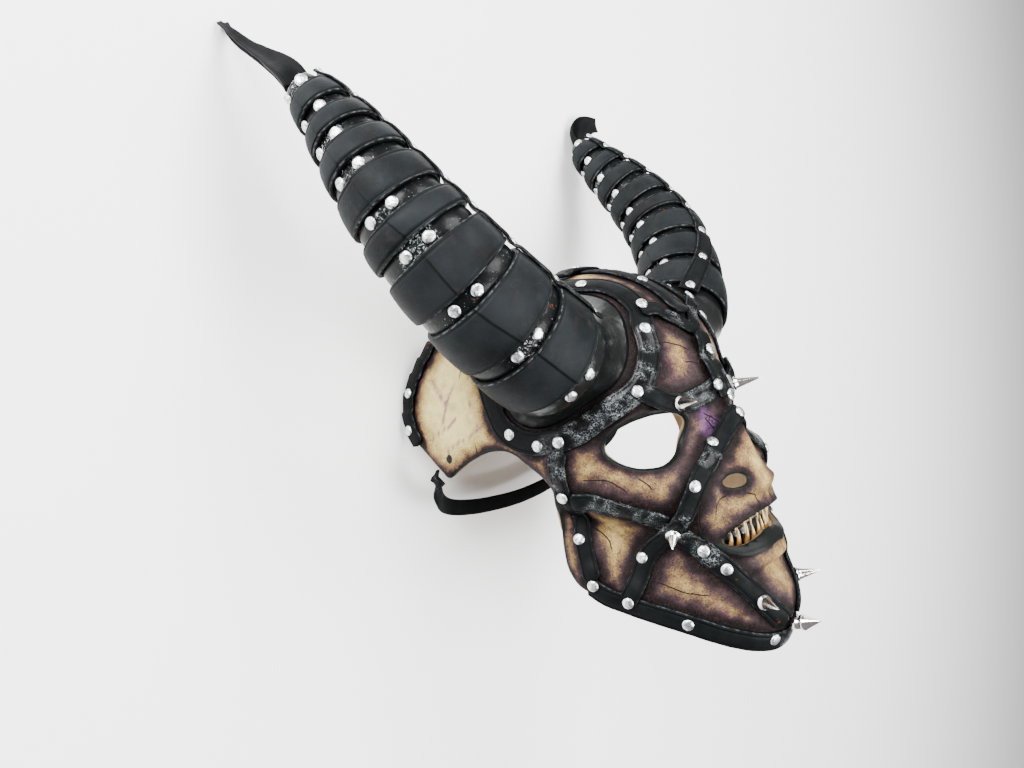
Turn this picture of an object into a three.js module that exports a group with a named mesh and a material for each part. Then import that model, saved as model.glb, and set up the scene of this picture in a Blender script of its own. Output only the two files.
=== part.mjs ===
// Horned leather mask, lying face up on the back edges of its side panels and on one horn.
// Lengths are millimetres and angles are degrees. Every piece is first laid out in the head frame:
// x to the wearer's right, y forward, z up, origin midway between the ear openings.
import * as THREE from 'three';
import { mergeVertices } from 'three/addons/utils/BufferGeometryUtils.js';

// Driving dimensions
const faceLeather = 3.6;      // wall of the moulded mask
const strapLeather = 2.4;     // every flat strap
const layGap = 0.9;           // daylight under a strap on the faceted mask
const stackGap = 1;           // daylight between two crossing straps
const rampSlope = 0.4;        // how steeply a strap climbs over another
const spikeGap = 0.7;         // daylight under a spike's foot
const chinSpikeGap = 1.6;     // the same under the chin's spike, which leans
const widestStep = 15;        // longest straight stretch of a strap where nothing bends it

const restPitch = 9.36;       // lean of the face towards the chin when it lies on its panels and a horn

const degree = Math.PI / 180;
const vector = (x, y, z) => new THREE.Vector3(x, y, z);
const clamp = THREE.MathUtils.clamp;
const soft = (t) => THREE.MathUtils.smoothstep(t, 0, 1);

// A smooth line through [x, value] knots
function through(knots) {
  const slope = knots.map((knot, i) => {
    const a = knots[Math.max(i - 1, 0)];
    const b = knots[Math.min(i + 1, knots.length - 1)];
    return (b[1] - a[1]) / (b[0] - a[0]);
  });
  return (x) => {
    let i = knots.findIndex((knot) => knot[0] > x) - 1;
    if (i < 0) i = x < knots[0][0] ? 0 : knots.length - 2;
    const step = knots[i + 1][0] - knots[i][0];
    const t = clamp((x - knots[i][0]) / step, 0, 1);
    const a = knots[i][1];
    const b = knots[i + 1][1];
    return a + (b - a) * t * t * (3 - 2 * t)
      + step * t * (1 - t) * (slope[i] * (1 - t) - slope[i + 1] * t);
  };
}

// The skull: radius from the head's centre, by the angle above straight ahead.
// Past the crown the wall runs straight back like a tunnel, which is what keeps the side panels flat.
const crownHeight = 137;
const tunnel = (angle) => crownHeight * 1.01 / Math.sin(angle * degree);
const profile = through([
  [-90, 148], [-74, 152], [-60, 152], [-50, 146.5], [-42, 137], [-34, 125.5], [-25, 114.5], [-15, 109],
  [-5, 102], [5, 99], [15, 100], [25, 106], [42, 118], [55, 128], [70, 134], [90, crownHeight],
  [105, tunnel(105)], [120, tunnel(120)], [135, tunnel(135)], [150, tunnel(150)], [165, tunnel(165)],
].map(([angle, radius]) => [angle, 100 / radius]));
const halfWidth = through([
  [-90, 72], [-74, 70], [-60, 65], [-42, 58], [-25, 63], [-10, 71], [5, 76], [25, 79], [45, 82],
  [70, 84], [90, 85], [120, 88], [150, 91], [180, 91],
]);
const boxiness = through([[-90, 2.2], [-40, 2.2], [0, 2.15], [40, 2.1], [75, 2.3], [110, 2.8], [180, 3]]);

// Round the ear the widths run together into one, so that the wall stays smooth
const earWidth = 75;

function skullRadius(alpha, beta) {
  const power = boxiness(alpha);
  const nearEar = soft((Math.abs(beta) / degree - 70) / 14);
  const width = halfWidth(alpha) + (earWidth - halfWidth(alpha)) * nearEar;
  const across = Math.abs(Math.sin(beta)) / width;
  const along = Math.abs(Math.cos(beta)) * profile(alpha) / 100;
  return (across ** power + along ** power) ** (-1 / power);
}

// Carved relief of the face: height over the skull at side distance x and height z
const mound = (x, z, atX, atZ, wide, tall) => (
  Math.exp(-(((x - atX) / wide) ** 2) - ((z - atZ) / tall) ** 2));

function relief(x, z) {
  const side = Math.abs(x);
  let h = 0.5 * mound(x, z, 0, 40, 12, 9);
  h -= 4 * mound(side, z, 32, 40, 18, 10) + 4 * mound(side, z, 32, 58, 18, 11);
  h -= 9 * mound(side, z, 37, 20, 17, 11) + 6 * mound(side, z, 17, 20, 9, 11);
  const down = clamp((26 - z) / 40, 0, 1.25);
  const ridge = (6 + 1.2 * down) * soft((34 - z) / 12) * soft((z + 25) / 9);
  h += ridge * Math.exp(-((side / (7.5 + 5 * down)) ** 2.2));
  h += 3.5 * mound(side, z, 14, -15, 6.5, 7);
  h += 5 * mound(side, z, 52, -4, 20, 13) - 5 * mound(side, z, 50, -38, 16, 18);
  const fold = mound(side, 0, 27 - 0.35 * (z + 20), 0, 4.5, 1) * soft((z + 52) / 14) * soft((-8 - z) / 10);
  h -= 3.5 * fold;
  h += 1.2 * mound(x, z, 0, -34, 24, 9) + 4.5 * mound(x, z, 0, -57, 22, 8) - 3 * mound(x, z, 0, -46, 22, 5);
  h += 4.5 * mound(x, z, 0, -87, 19, 13) - 7 * mound(x, z, 0, -69, 21, 6);
  return h;
}

// The outer skin in the direction of a point; the relief fades out towards the ears
function skin(point) {
  const d = point.clone().normalize();
  const alpha = Math.atan2(d.z, d.y) / degree;
  const radius = skullRadius(alpha, Math.asin(clamp(d.x, -1, 1)));
  const fade = soft((d.y * radius - 5) / 40);
  return d.multiplyScalar(radius + fade * relief(d.x * radius, d.z * radius));
}

function skinNormal(point) {
  const out = point.clone().normalize();
  const askew = vector(0.31, 0.2, 0.93);
  const a = new THREE.Vector3().crossVectors(out, askew).normalize();
  const b = new THREE.Vector3().crossVectors(out, a);
  const reach = 1.2;
  const at = (axis, sign) => skin(point.clone().addScaledVector(axis, sign * reach));
  const across = at(a, 1).sub(at(a, -1));
  const along = at(b, 1).sub(at(b, -1));
  const normal = across.cross(along).normalize();
  return normal.dot(out) < 0 ? normal.negate() : normal;
}

const lifted = (point, height) => skin(point).addScaledVector(skinNormal(point), height);

function solid(name, material, triangles) {
  const data = new Float32Array(triangles.flat().flatMap((p) => [p.x, p.y, p.z]));
  const geometry = new THREE.BufferGeometry();
  geometry.setAttribute('position', new THREE.BufferAttribute(data, 3));
  const merged = mergeVertices(geometry, 1e-3);
  const index = [];
  const source = merged.index.array;
  for (let i = 0; i < source.length; i += 3) {
    const [a, b, c] = [source[i], source[i + 1], source[i + 2]];
    if (a !== b && b !== c && c !== a) index.push(a, b, c);
  }
  merged.setIndex(index);
  merged.computeVertexNormals();
  const mesh = new THREE.Mesh(merged, material);
  mesh.name = name;
  return mesh;
}

// A skin of quads over rows of points; rows and columns may each close on themselves
function quads(rows, closeRows, closeColumns) {
  const triangles = [];
  const n = rows.length;
  const m = rows[0].length;
  for (let i = 0; i < (closeRows ? n : n - 1); i += 1) {
    for (let j = 0; j < (closeColumns ? m : m - 1); j += 1) {
      const a = rows[i][j];
      const b = rows[i][(j + 1) % m];
      const c = rows[(i + 1) % n][(j + 1) % m];
      const d = rows[(i + 1) % n][j];
      triangles.push([a, b, c], [a, c, d]);
    }
  }
  return triangles;
}

const cap = (ring) => ring.slice(2).map((p, i) => [ring[0], p, ring[i + 1]]);

function outward(triangles) {
  const volume = triangles.reduce((sum, [a, b, c]) => sum + a.dot(b.clone().cross(c)), 0);
  return volume < 0 ? triangles.map(([a, b, c]) => [a, c, b]) : triangles;
}

// A solid through rings of points, closed into a loop or capped at both ends
function loft(name, material, rings, closed = false) {
  const triangles = quads(rings, closed, true);
  if (!closed) triangles.push(...cap(rings[0]), ...cap(rings.at(-1)).map(([a, b, c]) => [a, c, b]));
  return solid(name, material, outward(triangles));
}

const paint = (color, roughness, metalness = 0) => (
  new THREE.MeshStandardMaterial({ color, roughness, metalness }));
const tanLeather = paint(0xc39a63, 0.55);
const blackLeather = paint(0x1c1d1f, 0.45);
const glossLeather = paint(0x101112, 0.25);
const chrome = paint(0xc9cacc, 0.2, 1);
const ivory = paint(0xc9a468, 0.4);

const head = new THREE.Group();

// The mask. Its border is a side-view outline [y, z], and its holes are outlines [beta, alpha].
const border = [
  [112, -115], [90, -110], [60, -91], [34, -73.5], [14, -63], [5, -56], [2, -45], [4, -31], [7, -16],
  [10, -5], [13, 8], [8, 20], [0, 31.5], [-9, 37], [-24, 38], [-40, 34], [-52, 29], [-62, 24.5], [-69, 32],
  [-80, 44], [-93, 57], [-98, 66], [-100, 75], [-96, 92], [-82, 116], [-65, 132], [-56, 150], [60, 200],
  [200, 120], [200, -115],
];
const eyeHole = [
  [47.5, 28.5], [49.5, 23], [47, 15.5], [41, 8.5], [33, 6], [26, 8.5], [21, 13], [17, 18.5], [20, 23],
  [28, 26], [36, 28.5], [42, 29.5],
];
const nostrilHole = [[15.4, -5.5], [11.5, -4], [8, -4], [6.1, -5.6], [8.5, -7.8], [12.5, -8.4]];
const mouthHole = [
  [0, -17], [6, -17.2], [11, -18.6], [15, -21.5], [17.8, -26], [13, -26.4], [7, -24.8], [0, -23.8],
];

function signedDistance(x, y, outline) {
  let nearest = Infinity;
  let inside = false;
  outline.forEach(([x1, y1], i) => {
    const [x2, y2] = outline[(i + 1) % outline.length];
    const [runX, runY] = [x2 - x1, y2 - y1];
    const t = clamp(((x - x1) * runX + (y - y1) * runY) / (runX ** 2 + runY ** 2), 0, 1);
    nearest = Math.min(nearest, Math.hypot(x - x1 - t * runX, y - y1 - t * runY));
    if ((y1 > y) !== (y2 > y) && x < runX * (y - y1) / runY + x1) inside = !inside;
  });
  return inside ? nearest : -nearest;
}

// Above zero where there is leather
function leatherAt(alpha, beta, point) {
  const side = Math.abs(beta);
  return Math.min(
    signedDistance(point.y, point.z, border),
    -signedDistance(side, alpha, eyeHole),
    -signedDistance(side, alpha, nostrilHole),
    -signedDistance(side, alpha, mouthHole),
  );
}

function stepsBetween(stops) {
  const values = [stops[0][0]];
  stops.slice(1).forEach(([end, step]) => {
    const start = values.at(-1);
    const count = Math.max(1, Math.round(Math.abs(end - start) / step));
    for (let k = 1; k <= count; k += 1) values.push(start + (end - start) * k / count);
  });
  return values;
}

function maskShell() {
  const alphas = stepsBetween([
    [-112], [-90, 11], [-54, 9], [-30, 5.5], [-12, 4], [34, 5.2], [90, 14], [165, 14],
  ]);
  const half = stepsBetween([[0], [20, 5], [50, 7.5], [74, 8], [86, 6]]);
  const betas = [...half.slice(1).reverse().map((b) => -b), ...half];
  const cache = new Map();
  const spot = (alpha, beta) => {
    const key = `${alpha.toFixed(4)} ${beta.toFixed(4)}`;
    if (!cache.has(key)) {
      const a = alpha * degree;
      const b = beta * degree;
      const way = vector(Math.sin(b), Math.cos(b) * Math.cos(a), Math.cos(b) * Math.sin(a));
      const outer = skin(way.multiplyScalar(100));
      const inner = outer.clone().addScaledVector(skinNormal(outer), -faceLeather);
      cache.set(key, { alpha, beta, outer, inner, value: leatherAt(alpha, beta, outer) });
    }
    return cache.get(key);
  };
  // Where the border crosses a grid edge, kept off the edge's ends so that no sliver is left
  const crossing = (p, q) => {
    const [from, to] = p.value > q.value ? [p, q] : [q, p];
    const t = clamp(from.value / (from.value - to.value), 0.12, 0.88);
    const cut = spot(from.alpha + (to.alpha - from.alpha) * t, from.beta + (to.beta - from.beta) * t);
    cut.onBorder = true;
    return cut;
  };
  const triangles = [];
  for (let i = 0; i < alphas.length - 1; i += 1) {
    for (let j = 0; j < betas.length - 1; j += 1) {
      const places = [[i, j], [i, j + 1], [i + 1, j + 1], [i + 1, j]];
      const corners = places.map(([row, column]) => spot(alphas[row], betas[column]));
      const loop = [];
      corners.forEach((corner, k) => {
        const next = corners[(k + 1) % corners.length];
        if (corner.value > 0) loop.push(corner);
        if ((corner.value > 0) !== (next.value > 0)) loop.push(crossing(corner, next));
      });
      if (loop.length < 3) continue;
      for (let k = 1; k < loop.length - 1; k += 1) {
        triangles.push([loop[0].outer, loop[k].outer, loop[k + 1].outer]);
        triangles.push([loop[0].inner, loop[k + 1].inner, loop[k].inner]);
      }
      loop.forEach((p, k) => {
        const q = loop[(k + 1) % loop.length];
        if (!(p.onBorder && q.onBorder)) return;
        triangles.push([p.outer, p.inner, q.outer], [q.outer, p.inner, q.inner]);
      });
    }
  }
  return solid('mask_shell', tanLeather, outward(triangles));
}
head.add(maskShell());

// Straps. A route is a list of places near the skin; the strap is pressed onto the skin under them.
function walk(route, closed, step) {
  const curve = new THREE.CatmullRomCurve3(route.map((p) => vector(...p)), closed, 'catmullrom', 0.5);
  const count = Math.round(curve.getLength() / step);
  const points = curve.getSpacedPoints(count);
  if (closed) points.pop();
  return points;
}

const laid = [];

function strapSections(route, width, closed, gap, step) {
  const centre = walk(route, closed, 1).map((p) => skin(p));
  const n = centre.length;
  const needed = centre.map((p) => {
    let need = gap;
    laid.forEach((other) => {
      other.centre.forEach((q, j) => {
        if (p.distanceTo(q) < (width + other.width) / 2 + 0.8) {
          need = Math.max(need, other.lift[j] + strapLeather + stackGap);
        }
      });
    });
    return need;
  });
  const away = (i, k) => (closed ? Math.min(Math.abs(i - k), n - Math.abs(i - k)) : Math.abs(i - k));
  const lift = needed.map((_, i) => Math.max(...needed.map((need, k) => need - rampSlope * away(i, k)), gap));
  laid.push({ centre, lift, width });
  const kept = [];
  for (let i = 0; i < n; i += 1) {
    const before = lift[closed ? (i + n - 1) % n : Math.max(i - 1, 0)];
    const after = lift[closed ? (i + 1) % n : Math.min(i + 1, n - 1)];
    const kink = Math.abs(before - 2 * lift[i] + after) > 0.15;
    const far = !kept.length || i - kept.at(-1) >= step;
    if (far || i === n - 1 || (kink && i - kept.at(-1) > 1)) kept.push(i);
  }
  return kept.map((i) => {
    const before = centre[closed ? (i + n - 1) % n : Math.max(i - 1, 0)];
    const after = centre[closed ? (i + 1) % n : Math.min(i + 1, n - 1)];
    const out = skinNormal(centre[i]);
    const side = new THREE.Vector3().crossVectors(after.clone().sub(before), out).normalize();
    const left = centre[i].clone().addScaledVector(side, width / 2);
    const right = centre[i].clone().addScaledVector(side, -width / 2);
    const top = lift[i] + strapLeather;
    return [lifted(left, lift[i]), lifted(right, lift[i]), lifted(right, top), lifted(left, top)];
  });
}

function strap(name, route, width, { closed = false, gap = layGap, step = widestStep } = {}) {
  const rows = strapSections(route, width, closed, gap, step);
  head.add(loft(name, blackLeather, rows, closed));
}

const mirrored = (route) => route.map(([x, y, z]) => [-x, y, z]);
// A route that ends at x = 0, carried on over the other side
const bothSides = (route) => [...route, ...mirrored(route).reverse().slice(1)];

const jawRoute = [
  [66, 15, -56], [64, 24, -65], [59, 35, -70.5], [47, 64, -86.5], [31, 85, -101], [13, 96, -110],
  [0, 98, -113],
];
const ringRoute = [
  [33, 77, 89], [37, 79, 74], [44, 78, 62], [52, 72, 53], [66, 55, 44], [74, 42, 39], [80, 24, 37],
  [85, 8, 41], [86, -6, 52], [83, -13, 72], [76, -18, 95], [60, -18, 118], [44, -6, 131],
  [36, 14, 132], [31, 38, 126], [26, 52, 121], [25, 64, 113], [27, 73, 101],
];
const earRoute = [[78, 30, 31], [79, 24, 18], [76, 22, 2], [66, 17, -29], [66, 19, -52]];
const cheekRoute = [[74, 27, 0], [66, 37, -4], [57, 57, -15], [49, 70, -24]];
const chinRoute = [[45, 75, -30], [39, 85, -48], [33, 93, -61], [21, 101, -83], [8, 102, -98]];
const bridgeRoute = [
  [60, 36, -68], [51, 50, -47], [47, 72, -27], [41, 88, -6], [27, 93, 4], [13, 94, 12], [0, 99, 24],
];
const browRoute = [[50, 74, 54], [42, 84, 46], [30, 92, 42], [14, 97, 43], [0, 98, 46]];
const hairRoute = [[28, 73, 96], [20, 77, 95], [10, 83, 88], [0, 88, 80]];
const centreRoute = [[0, 89, 76], [2, 93, 62], [3, 96, 50], [1, 98, 37]];
const crownRoute = [[0, 84, 90], [0, 72, 108], [0, 40, 128], [0, 0, 137], [0, -44, 138]];
const rearRoute = [
  [90, -85, 52], [88.5, -91, 64], [87, -94, 76], [81, -90, 92], [70, -78, 108], [50, -65, 124],
  [25, -57, 135], [0, -55, 139],
];

strap('jaw_strap', bothSides(jawRoute), 12);
strap('rear_edge_strap', bothSides(rearRoute), 11);
const sides = [['right', (route) => route], ['left', mirrored]];
sides.forEach(([side, turn]) => strap(`horn_ring_strap_${side}`, turn(ringRoute), 14, { closed: true }));
sides.forEach(([side, turn]) => strap(`ear_strap_${side}`, turn(earRoute), 13, { gap: 1.8, step: 8 }));
sides.forEach(([side, turn]) => strap(`cheek_strap_${side}`, turn(cheekRoute), 11, { gap: 1.5, step: 8 }));
strap('brow_strap', bothSides(browRoute), 11, { gap: 1.8 });
strap('hairline_strap', bothSides(hairRoute), 9);
strap('nose_bridge_strap', bothSides(bridgeRoute), 11, { gap: 2.9, step: 8 });
sides.forEach(([side, turn]) => strap(`chin_strap_${side}`, turn(chinRoute), 12, { gap: 1.3 }));
strap('forehead_strap', centreRoute, 12);
strap('crown_strap', crownRoute, 12);
strap('crown_tab', [[-27, 14, 135], [0, 16, 137], [27, 14, 135]], 14);

// Teeth: a toothed band glued behind each lip, the two meeting in a zigzag.
// Up and across are angles, as for the holes.
const gumDepth = 8.5;          // how far behind the lips the teeth stand
const gumThickness = 3;
const gumCurl = 3;             // how much deeper they stand at the corners of the mouth
const toothPitch = 1.75;
const teethEachSide = 9;
const toothPoint = 1.8;
const biteAngle = -20.3;
const mouthEnd = 17.8;
const mouthDroop = 5;          // how far the bite drops at the corners
const rootDroop = 0.6;         // share of that drop which the gum line takes

function gum(up, across, depth) {
  const a = up * degree;
  const b = across * degree;
  const radius = skullRadius(up, b) - depth - gumCurl * (across / mouthEnd) ** 2;
  return vector(Math.sin(b), Math.cos(b) * Math.cos(a), Math.cos(b) * Math.sin(a)).multiplyScalar(radius);
}

function teeth(name, rootAngle, biteShift) {
  const sections = [];
  for (let i = -teethEachSide; i <= teethEachSide; i += 1) {
    const across = i * toothPitch;
    const drop = mouthDroop * (across / mouthEnd) ** 2;
    const bite = biteAngle - drop - (i % 2 ? toothPoint : 0) + biteShift;
    const root = rootAngle - rootDroop * drop;
    sections.push([
      gum(root, across, gumDepth), gum(bite, across, gumDepth),
      gum(bite, across, gumDepth + gumThickness), gum(root, across, gumDepth + gumThickness),
    ]);
  }
  head.add(loft(name, ivory, sections));
}
teeth('upper_teeth', -15, 0);
teeth('lower_teeth', -28, -0.7);

// The nape strap hangs clear of the head between the side panels, on the level of their back edges
const napeRoute = [
  [98.5, -61, 31], [96.5, -68, 16], [81, -79, 4], [45, -84, -5], [0, -85, -9],
];
const napeWidth = 11;
const napeFacing = vector(0, 0.35, 0.94);
const napeCurve = walk(bothSides(napeRoute), false, 1);
const napeSections = [];
for (let i = 0; i < napeCurve.length; i += widestStep) {
  const p = napeCurve[i];
  const along = napeCurve[Math.min(i + 1, napeCurve.length - 1)].clone().sub(napeCurve[Math.max(i - 1, 0)]);
  const across = napeFacing.clone().projectOnPlane(along.normalize()).normalize();
  const out = across.clone().cross(along);
  napeSections.push([[1, 0], [-1, 0], [-1, 1], [1, 1]].map(([u, v]) => (
    p.clone().addScaledVector(across, u * napeWidth / 2).addScaledVector(out, v * strapLeather))));
}
head.add(loft('nape_strap', blackLeather, napeSections));

// Horns: eight leather sleeves laid like shingles over a flared collar, each lapping the one below it
const joints = [25, 58, 91, 120, 141, 166, 188, 209, 231];   // along the horn from its root
const facets = 12;
const lap = 9;                 // how far a sleeve runs on under the next one
const bandWidth = 8;           // the riveted strip left bare beyond the plate of a sleeve
const plateTop = 0.9;          // these four are heights over the horn's nominal surface
const plateSwell = 1.5;
const lapTop = -2.2;
const footInside = -1.8;
const wall = 2.2;              // thickness of a sleeve under the next one
const tipRadius = 10.4;
const belly = 15;              // extra radius midway, for the swell of the horn
const rootFacing = vector(0.74, 0.44, 0.5);   // where the root's own rings turn to, off the horn's line
const rootTurn = 0.75;
const rootReach = 0.2;         // share of the horn's length over which that turn fades
const collarInset = 9.5;       // from the middle of the ring strap to the collar's foot
const collarWall = 4;
const collarRise = 2.4;        // daylight between the collar and the mask
const collarBend = 0.55;
const hornStrapStep = 12;
const hornStrapRootWidth = 14;
const hornStrapTipWidth = 9;
const hornStrapGap = 0.8;
const horns = [
  {
    side: 'right',
    way: 1,
    rootRadius: 36.8,
    axis: [[63, 40, 71], [174, 48.5, 147.5], [140.5, 9.5, 216.5], [165, -8.5, 261]],
    strapAt: through([[0, 52], [60, 47], [232, 47]]),
    tail: [
      [164.5, -11, 267, 6.5, 9], [166, -23, 282.5, 4.5, 7.5], [169, -37, 297, 3, 6],
      [171.5, -56, 321, 1.5, 4],
    ],
  },
  {
    side: 'left',
    way: -1,
    rootRadius: 32,
    axis: [[-65, 38, 78], [-168, 19, 161], [-123, -27, 220], [-140, -56, 263]],
    strapAt: through([
      [0, 58], [32, 42], [60, 24], [91, 6], [120, -8], [141, -14], [162, -13], [181, -6], [232, 12],
    ]),
    tail: [
      [-139, -58, 268, 4, 9], [-141, -61, 277, 2.5, 10], [-150, -57, 283, 1.5, 10],
      [-163.5, -50, 281, 1.5, 7.5],
    ],
  },
];

function hornFrame(horn, at) {
  const fraction = clamp(at / horn.length, 0, 1);
  const centre = horn.curve.getPointAt(fraction);
  const tangent = horn.curve.getTangentAt(fraction);
  const t = horn.curve.getUtoTmapping(fraction);
  const headward = rootTurn * clamp(1 - fraction / rootReach, 0, 1) ** 2;
  const out = rootFacing.clone().multiply(vector(horn.way, 1, 1)).normalize();
  const axis = tangent.clone().multiplyScalar(1 - headward).addScaledVector(out, headward).normalize();
  const front = vector(0, 1, 0).projectOnPlane(axis).normalize();
  const inward = axis.clone().cross(front).multiplyScalar(horn.way);
  centre.addScaledVector(tangent, at - fraction * horn.length);
  const radius = horn.rootRadius * (1 - t) + tipRadius * t + belly * t * (1 - t);
  return { centre, axis, front, inward, radius };
}

// Angle 0 faces forward and 90 faces the other horn
function around(frame, angle, radius) {
  return frame.centre.clone()
    .addScaledVector(frame.front, radius * Math.cos(angle * degree))
    .addScaledVector(frame.inward, radius * Math.sin(angle * degree));
}

function hornRing(horn, at, rise) {
  const frame = hornFrame(horn, at);
  return Array.from({ length: facets }, (_, k) => around(frame, k * 360 / facets, frame.radius + rise));
}

// Slide a point along the horn's axis until it stands a given height off the head
function onHead(point, axis, height) {
  let low = -70;
  let high = 40;
  for (let k = 0; k < 30; k += 1) {
    const slide = (low + high) / 2;
    const p = point.clone().addScaledVector(axis, slide);
    if (p.length() > skin(p).length() + height) high = slide;
    else low = slide;
  }
  return point.clone().addScaledVector(axis, high);
}

horns.forEach((horn) => {
  horn.curve = new THREE.CubicBezierCurve3(...horn.axis.map((p) => vector(...p)));
  horn.length = horn.curve.getLength();
  const ring = (at, rise) => hornRing(horn, at, rise);
  for (let k = 0; k < joints.length - 1; k += 1) {
    const foot = joints[k];
    const tip = joints[k + 1];
    const last = k === joints.length - 2;
    const end = last ? tip : tip + lap;
    const plateEnd = tip - bandWidth;
    head.add(loft(`horn_${horn.side}_sleeve_${k + 1}`, blackLeather, [
      ring(foot, plateTop), ring((foot + plateEnd) / 2, plateSwell), ring(plateEnd, plateTop),
      ring(plateEnd, lapTop), ring(end, lapTop - 0.6), ring(end, lapTop - 0.6 - wall),
      ring(foot + lap + 3, lapTop - wall), ring(foot + lap + 1.5, footInside), ring(foot, footInside),
    ], true));
  }

  // Collar: its foot follows the inside of the ring strap on the head, its top runs under the first sleeve
  const root = hornFrame(horn, joints[0]);
  const turn = horn.way > 0 ? ringRoute : mirrored(ringRoute);
  const reach = walk(turn, true, 2).map((p) => {
    const offset = skin(p).sub(root.centre);
    const where = Math.atan2(offset.dot(root.inward), offset.dot(root.front));
    return [where, offset.projectOnPlane(root.axis).length()];
  });
  const foot = (inset, height) => Array.from({ length: facets }, (_, k) => {
    const angle = k * 360 / facets;
    const sector = Math.cos(180 / facets * degree);
    const near = reach.filter(([where]) => Math.cos(where - angle * degree) > sector);
    const radius = Math.min(...near.map(([, far]) => far)) - inset;
    return onHead(around(root, angle, radius), root.axis, height);
  });
  const outerFoot = foot(collarInset, collarRise);
  const innerFoot = foot(collarInset + collarWall, collarRise);
  const neck = ring(joints[0] - bandWidth, lapTop);
  const innerNeck = ring(joints[0] - bandWidth, lapTop - 0.6 - wall);
  const between = (a, b, t) => a.map((p, k) => p.clone().lerp(b[k], t));
  head.add(loft(`horn_${horn.side}_collar`, glossLeather, [
    outerFoot, between(outerFoot, neck, collarBend), neck, ring(joints[0] + lap, lapTop - 0.6),
    ring(joints[0] + lap, lapTop - 0.6 - wall), innerNeck,
    between(innerFoot, innerNeck, collarBend), innerFoot,
  ], true));

  // Lengthwise strap riveted over the sleeves
  const sections = [];
  for (let at = joints[0] - bandWidth; at < horn.length - 2; at += hornStrapStep) {
    const frame = hornFrame(horn, at);
    const width = hornStrapRootWidth + (hornStrapTipWidth - hornStrapRootWidth) * at / horn.length;
    const swing = width / 2 / frame.radius / degree;
    const low = frame.radius + plateTop + hornStrapGap + (1 - Math.cos(swing * degree)) * frame.radius;
    sections.push([[-1, 0], [1, 0], [1, 1], [-1, 1]].map(([u, v]) => (
      around(frame, horn.strapAt(at) + u * swing, low + v * strapLeather))));
  }
  head.add(loft(`horn_${horn.side}_strap`, blackLeather, sections));

  // Tail of loose leather let into the tip: [x, y, z, half thickness, half width]
  const tip = hornFrame(horn, horn.length);
  const along = (distance) => tip.centre.clone().addScaledVector(tip.axis, distance).toArray();
  const path = [[...along(-12), 3.6, 3.6], [...along(-1.5), 4.2, 4.2], ...horn.tail];
  const places = path.map(([x, y, z]) => vector(x, y, z));
  const flat = vector(0.35 * horn.way, 0.94, 0);
  head.add(loft(`horn_${horn.side}_tail`, blackLeather, path.map(([, , , thick, wide], i) => {
    const next = places[Math.min(i + 1, places.length - 1)];
    const ahead = next.clone().sub(places[Math.max(i - 1, 0)]).normalize();
    const across = ahead.clone().cross(flat).normalize();
    const up = across.clone().cross(ahead);
    return Array.from({ length: 8 }, (_, k) => places[i].clone()
      .addScaledVector(across, wide * Math.cos(k * 45 * degree))
      .addScaledVector(up, thick * Math.sin(k * 45 * degree)));
  })));
});

// Spikes stand on the straps, square to the skin, as [height, radius] profiles
function spike(name, at, out, radii) {
  const axis = out.clone().normalize();
  const u = vector(0.3, 0.1, 0.95).projectOnPlane(axis).normalize();
  const v = axis.clone().cross(u);
  head.add(loft(name, chrome, radii.map(([height, radius]) => Array.from({ length: 8 }, (_, k) => (
    at.clone().addScaledVector(axis, height)
      .addScaledVector(u, radius * Math.cos(k * 45 * degree))
      .addScaledVector(v, radius * Math.sin(k * 45 * degree)))))));
}
const plainSpike = (length) => [[0, 3.7], [1.5, 3.4], [length, 0.15]];
const collaredSpike = [[0, 3.6], [5.4, 3.6], [6, 4.5], [7.6, 4.5], [18, 0.15]];
const spikeSeat = 4.5;         // reach round a spike in which it clears the straps
const spikes = [
  ['brow_spike', [33, 92, 43], 17],
  ['cheek_spike', [47, 72, -28], 12],
  ['chin_spike', [21, 101, -83], 15],
];
spikes.forEach(([name, at, length]) => sides.forEach(([side, turn]) => {
  const place = vector(...turn([at])[0]);
  const top = Math.max(...laid.flatMap(({ centre, lift, width }) => (
    centre.map((p, i) => (p.distanceTo(skin(place)) < width / 2 + spikeSeat ? lift[i] : 0)))));
  const seat = lifted(place, top + strapLeather + spikeGap);
  spike(`${name}_${side}`, seat, skinNormal(skin(place)), plainSpike(length));
}));
const chin = vector(0, 101, -102);
const jaw = laid[0];
const chinTop = jaw.lift[Math.round(jaw.lift.length / 2)] + strapLeather + chinSpikeGap;
spike('chin_centre_spike', lifted(chin, chinTop), vector(0, 1, 0.12), collaredSpike);

// Lay it down face up, crown towards +Y, centred over the floor
const lean = restPitch * degree;
const lay = new THREE.Matrix4().makeBasis(
  vector(-1, 0, 0),
  vector(0, Math.sin(lean), Math.cos(lean)),
  vector(0, Math.cos(lean), -Math.sin(lean)),
);
head.children.forEach((mesh) => mesh.geometry.applyMatrix4(lay));
const box = new THREE.Box3().setFromObject(head);
head.children.forEach((mesh) => (
  mesh.geometry.translate(-(box.min.x + box.max.x) / 2, -(box.min.y + box.max.y) / 2, -box.min.z)));

export default head;
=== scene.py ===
import itertools
import math

import bmesh
import bpy
import numpy as np
from mathutils import Matrix, Vector
from mathutils.kdtree import KDTree


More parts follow.
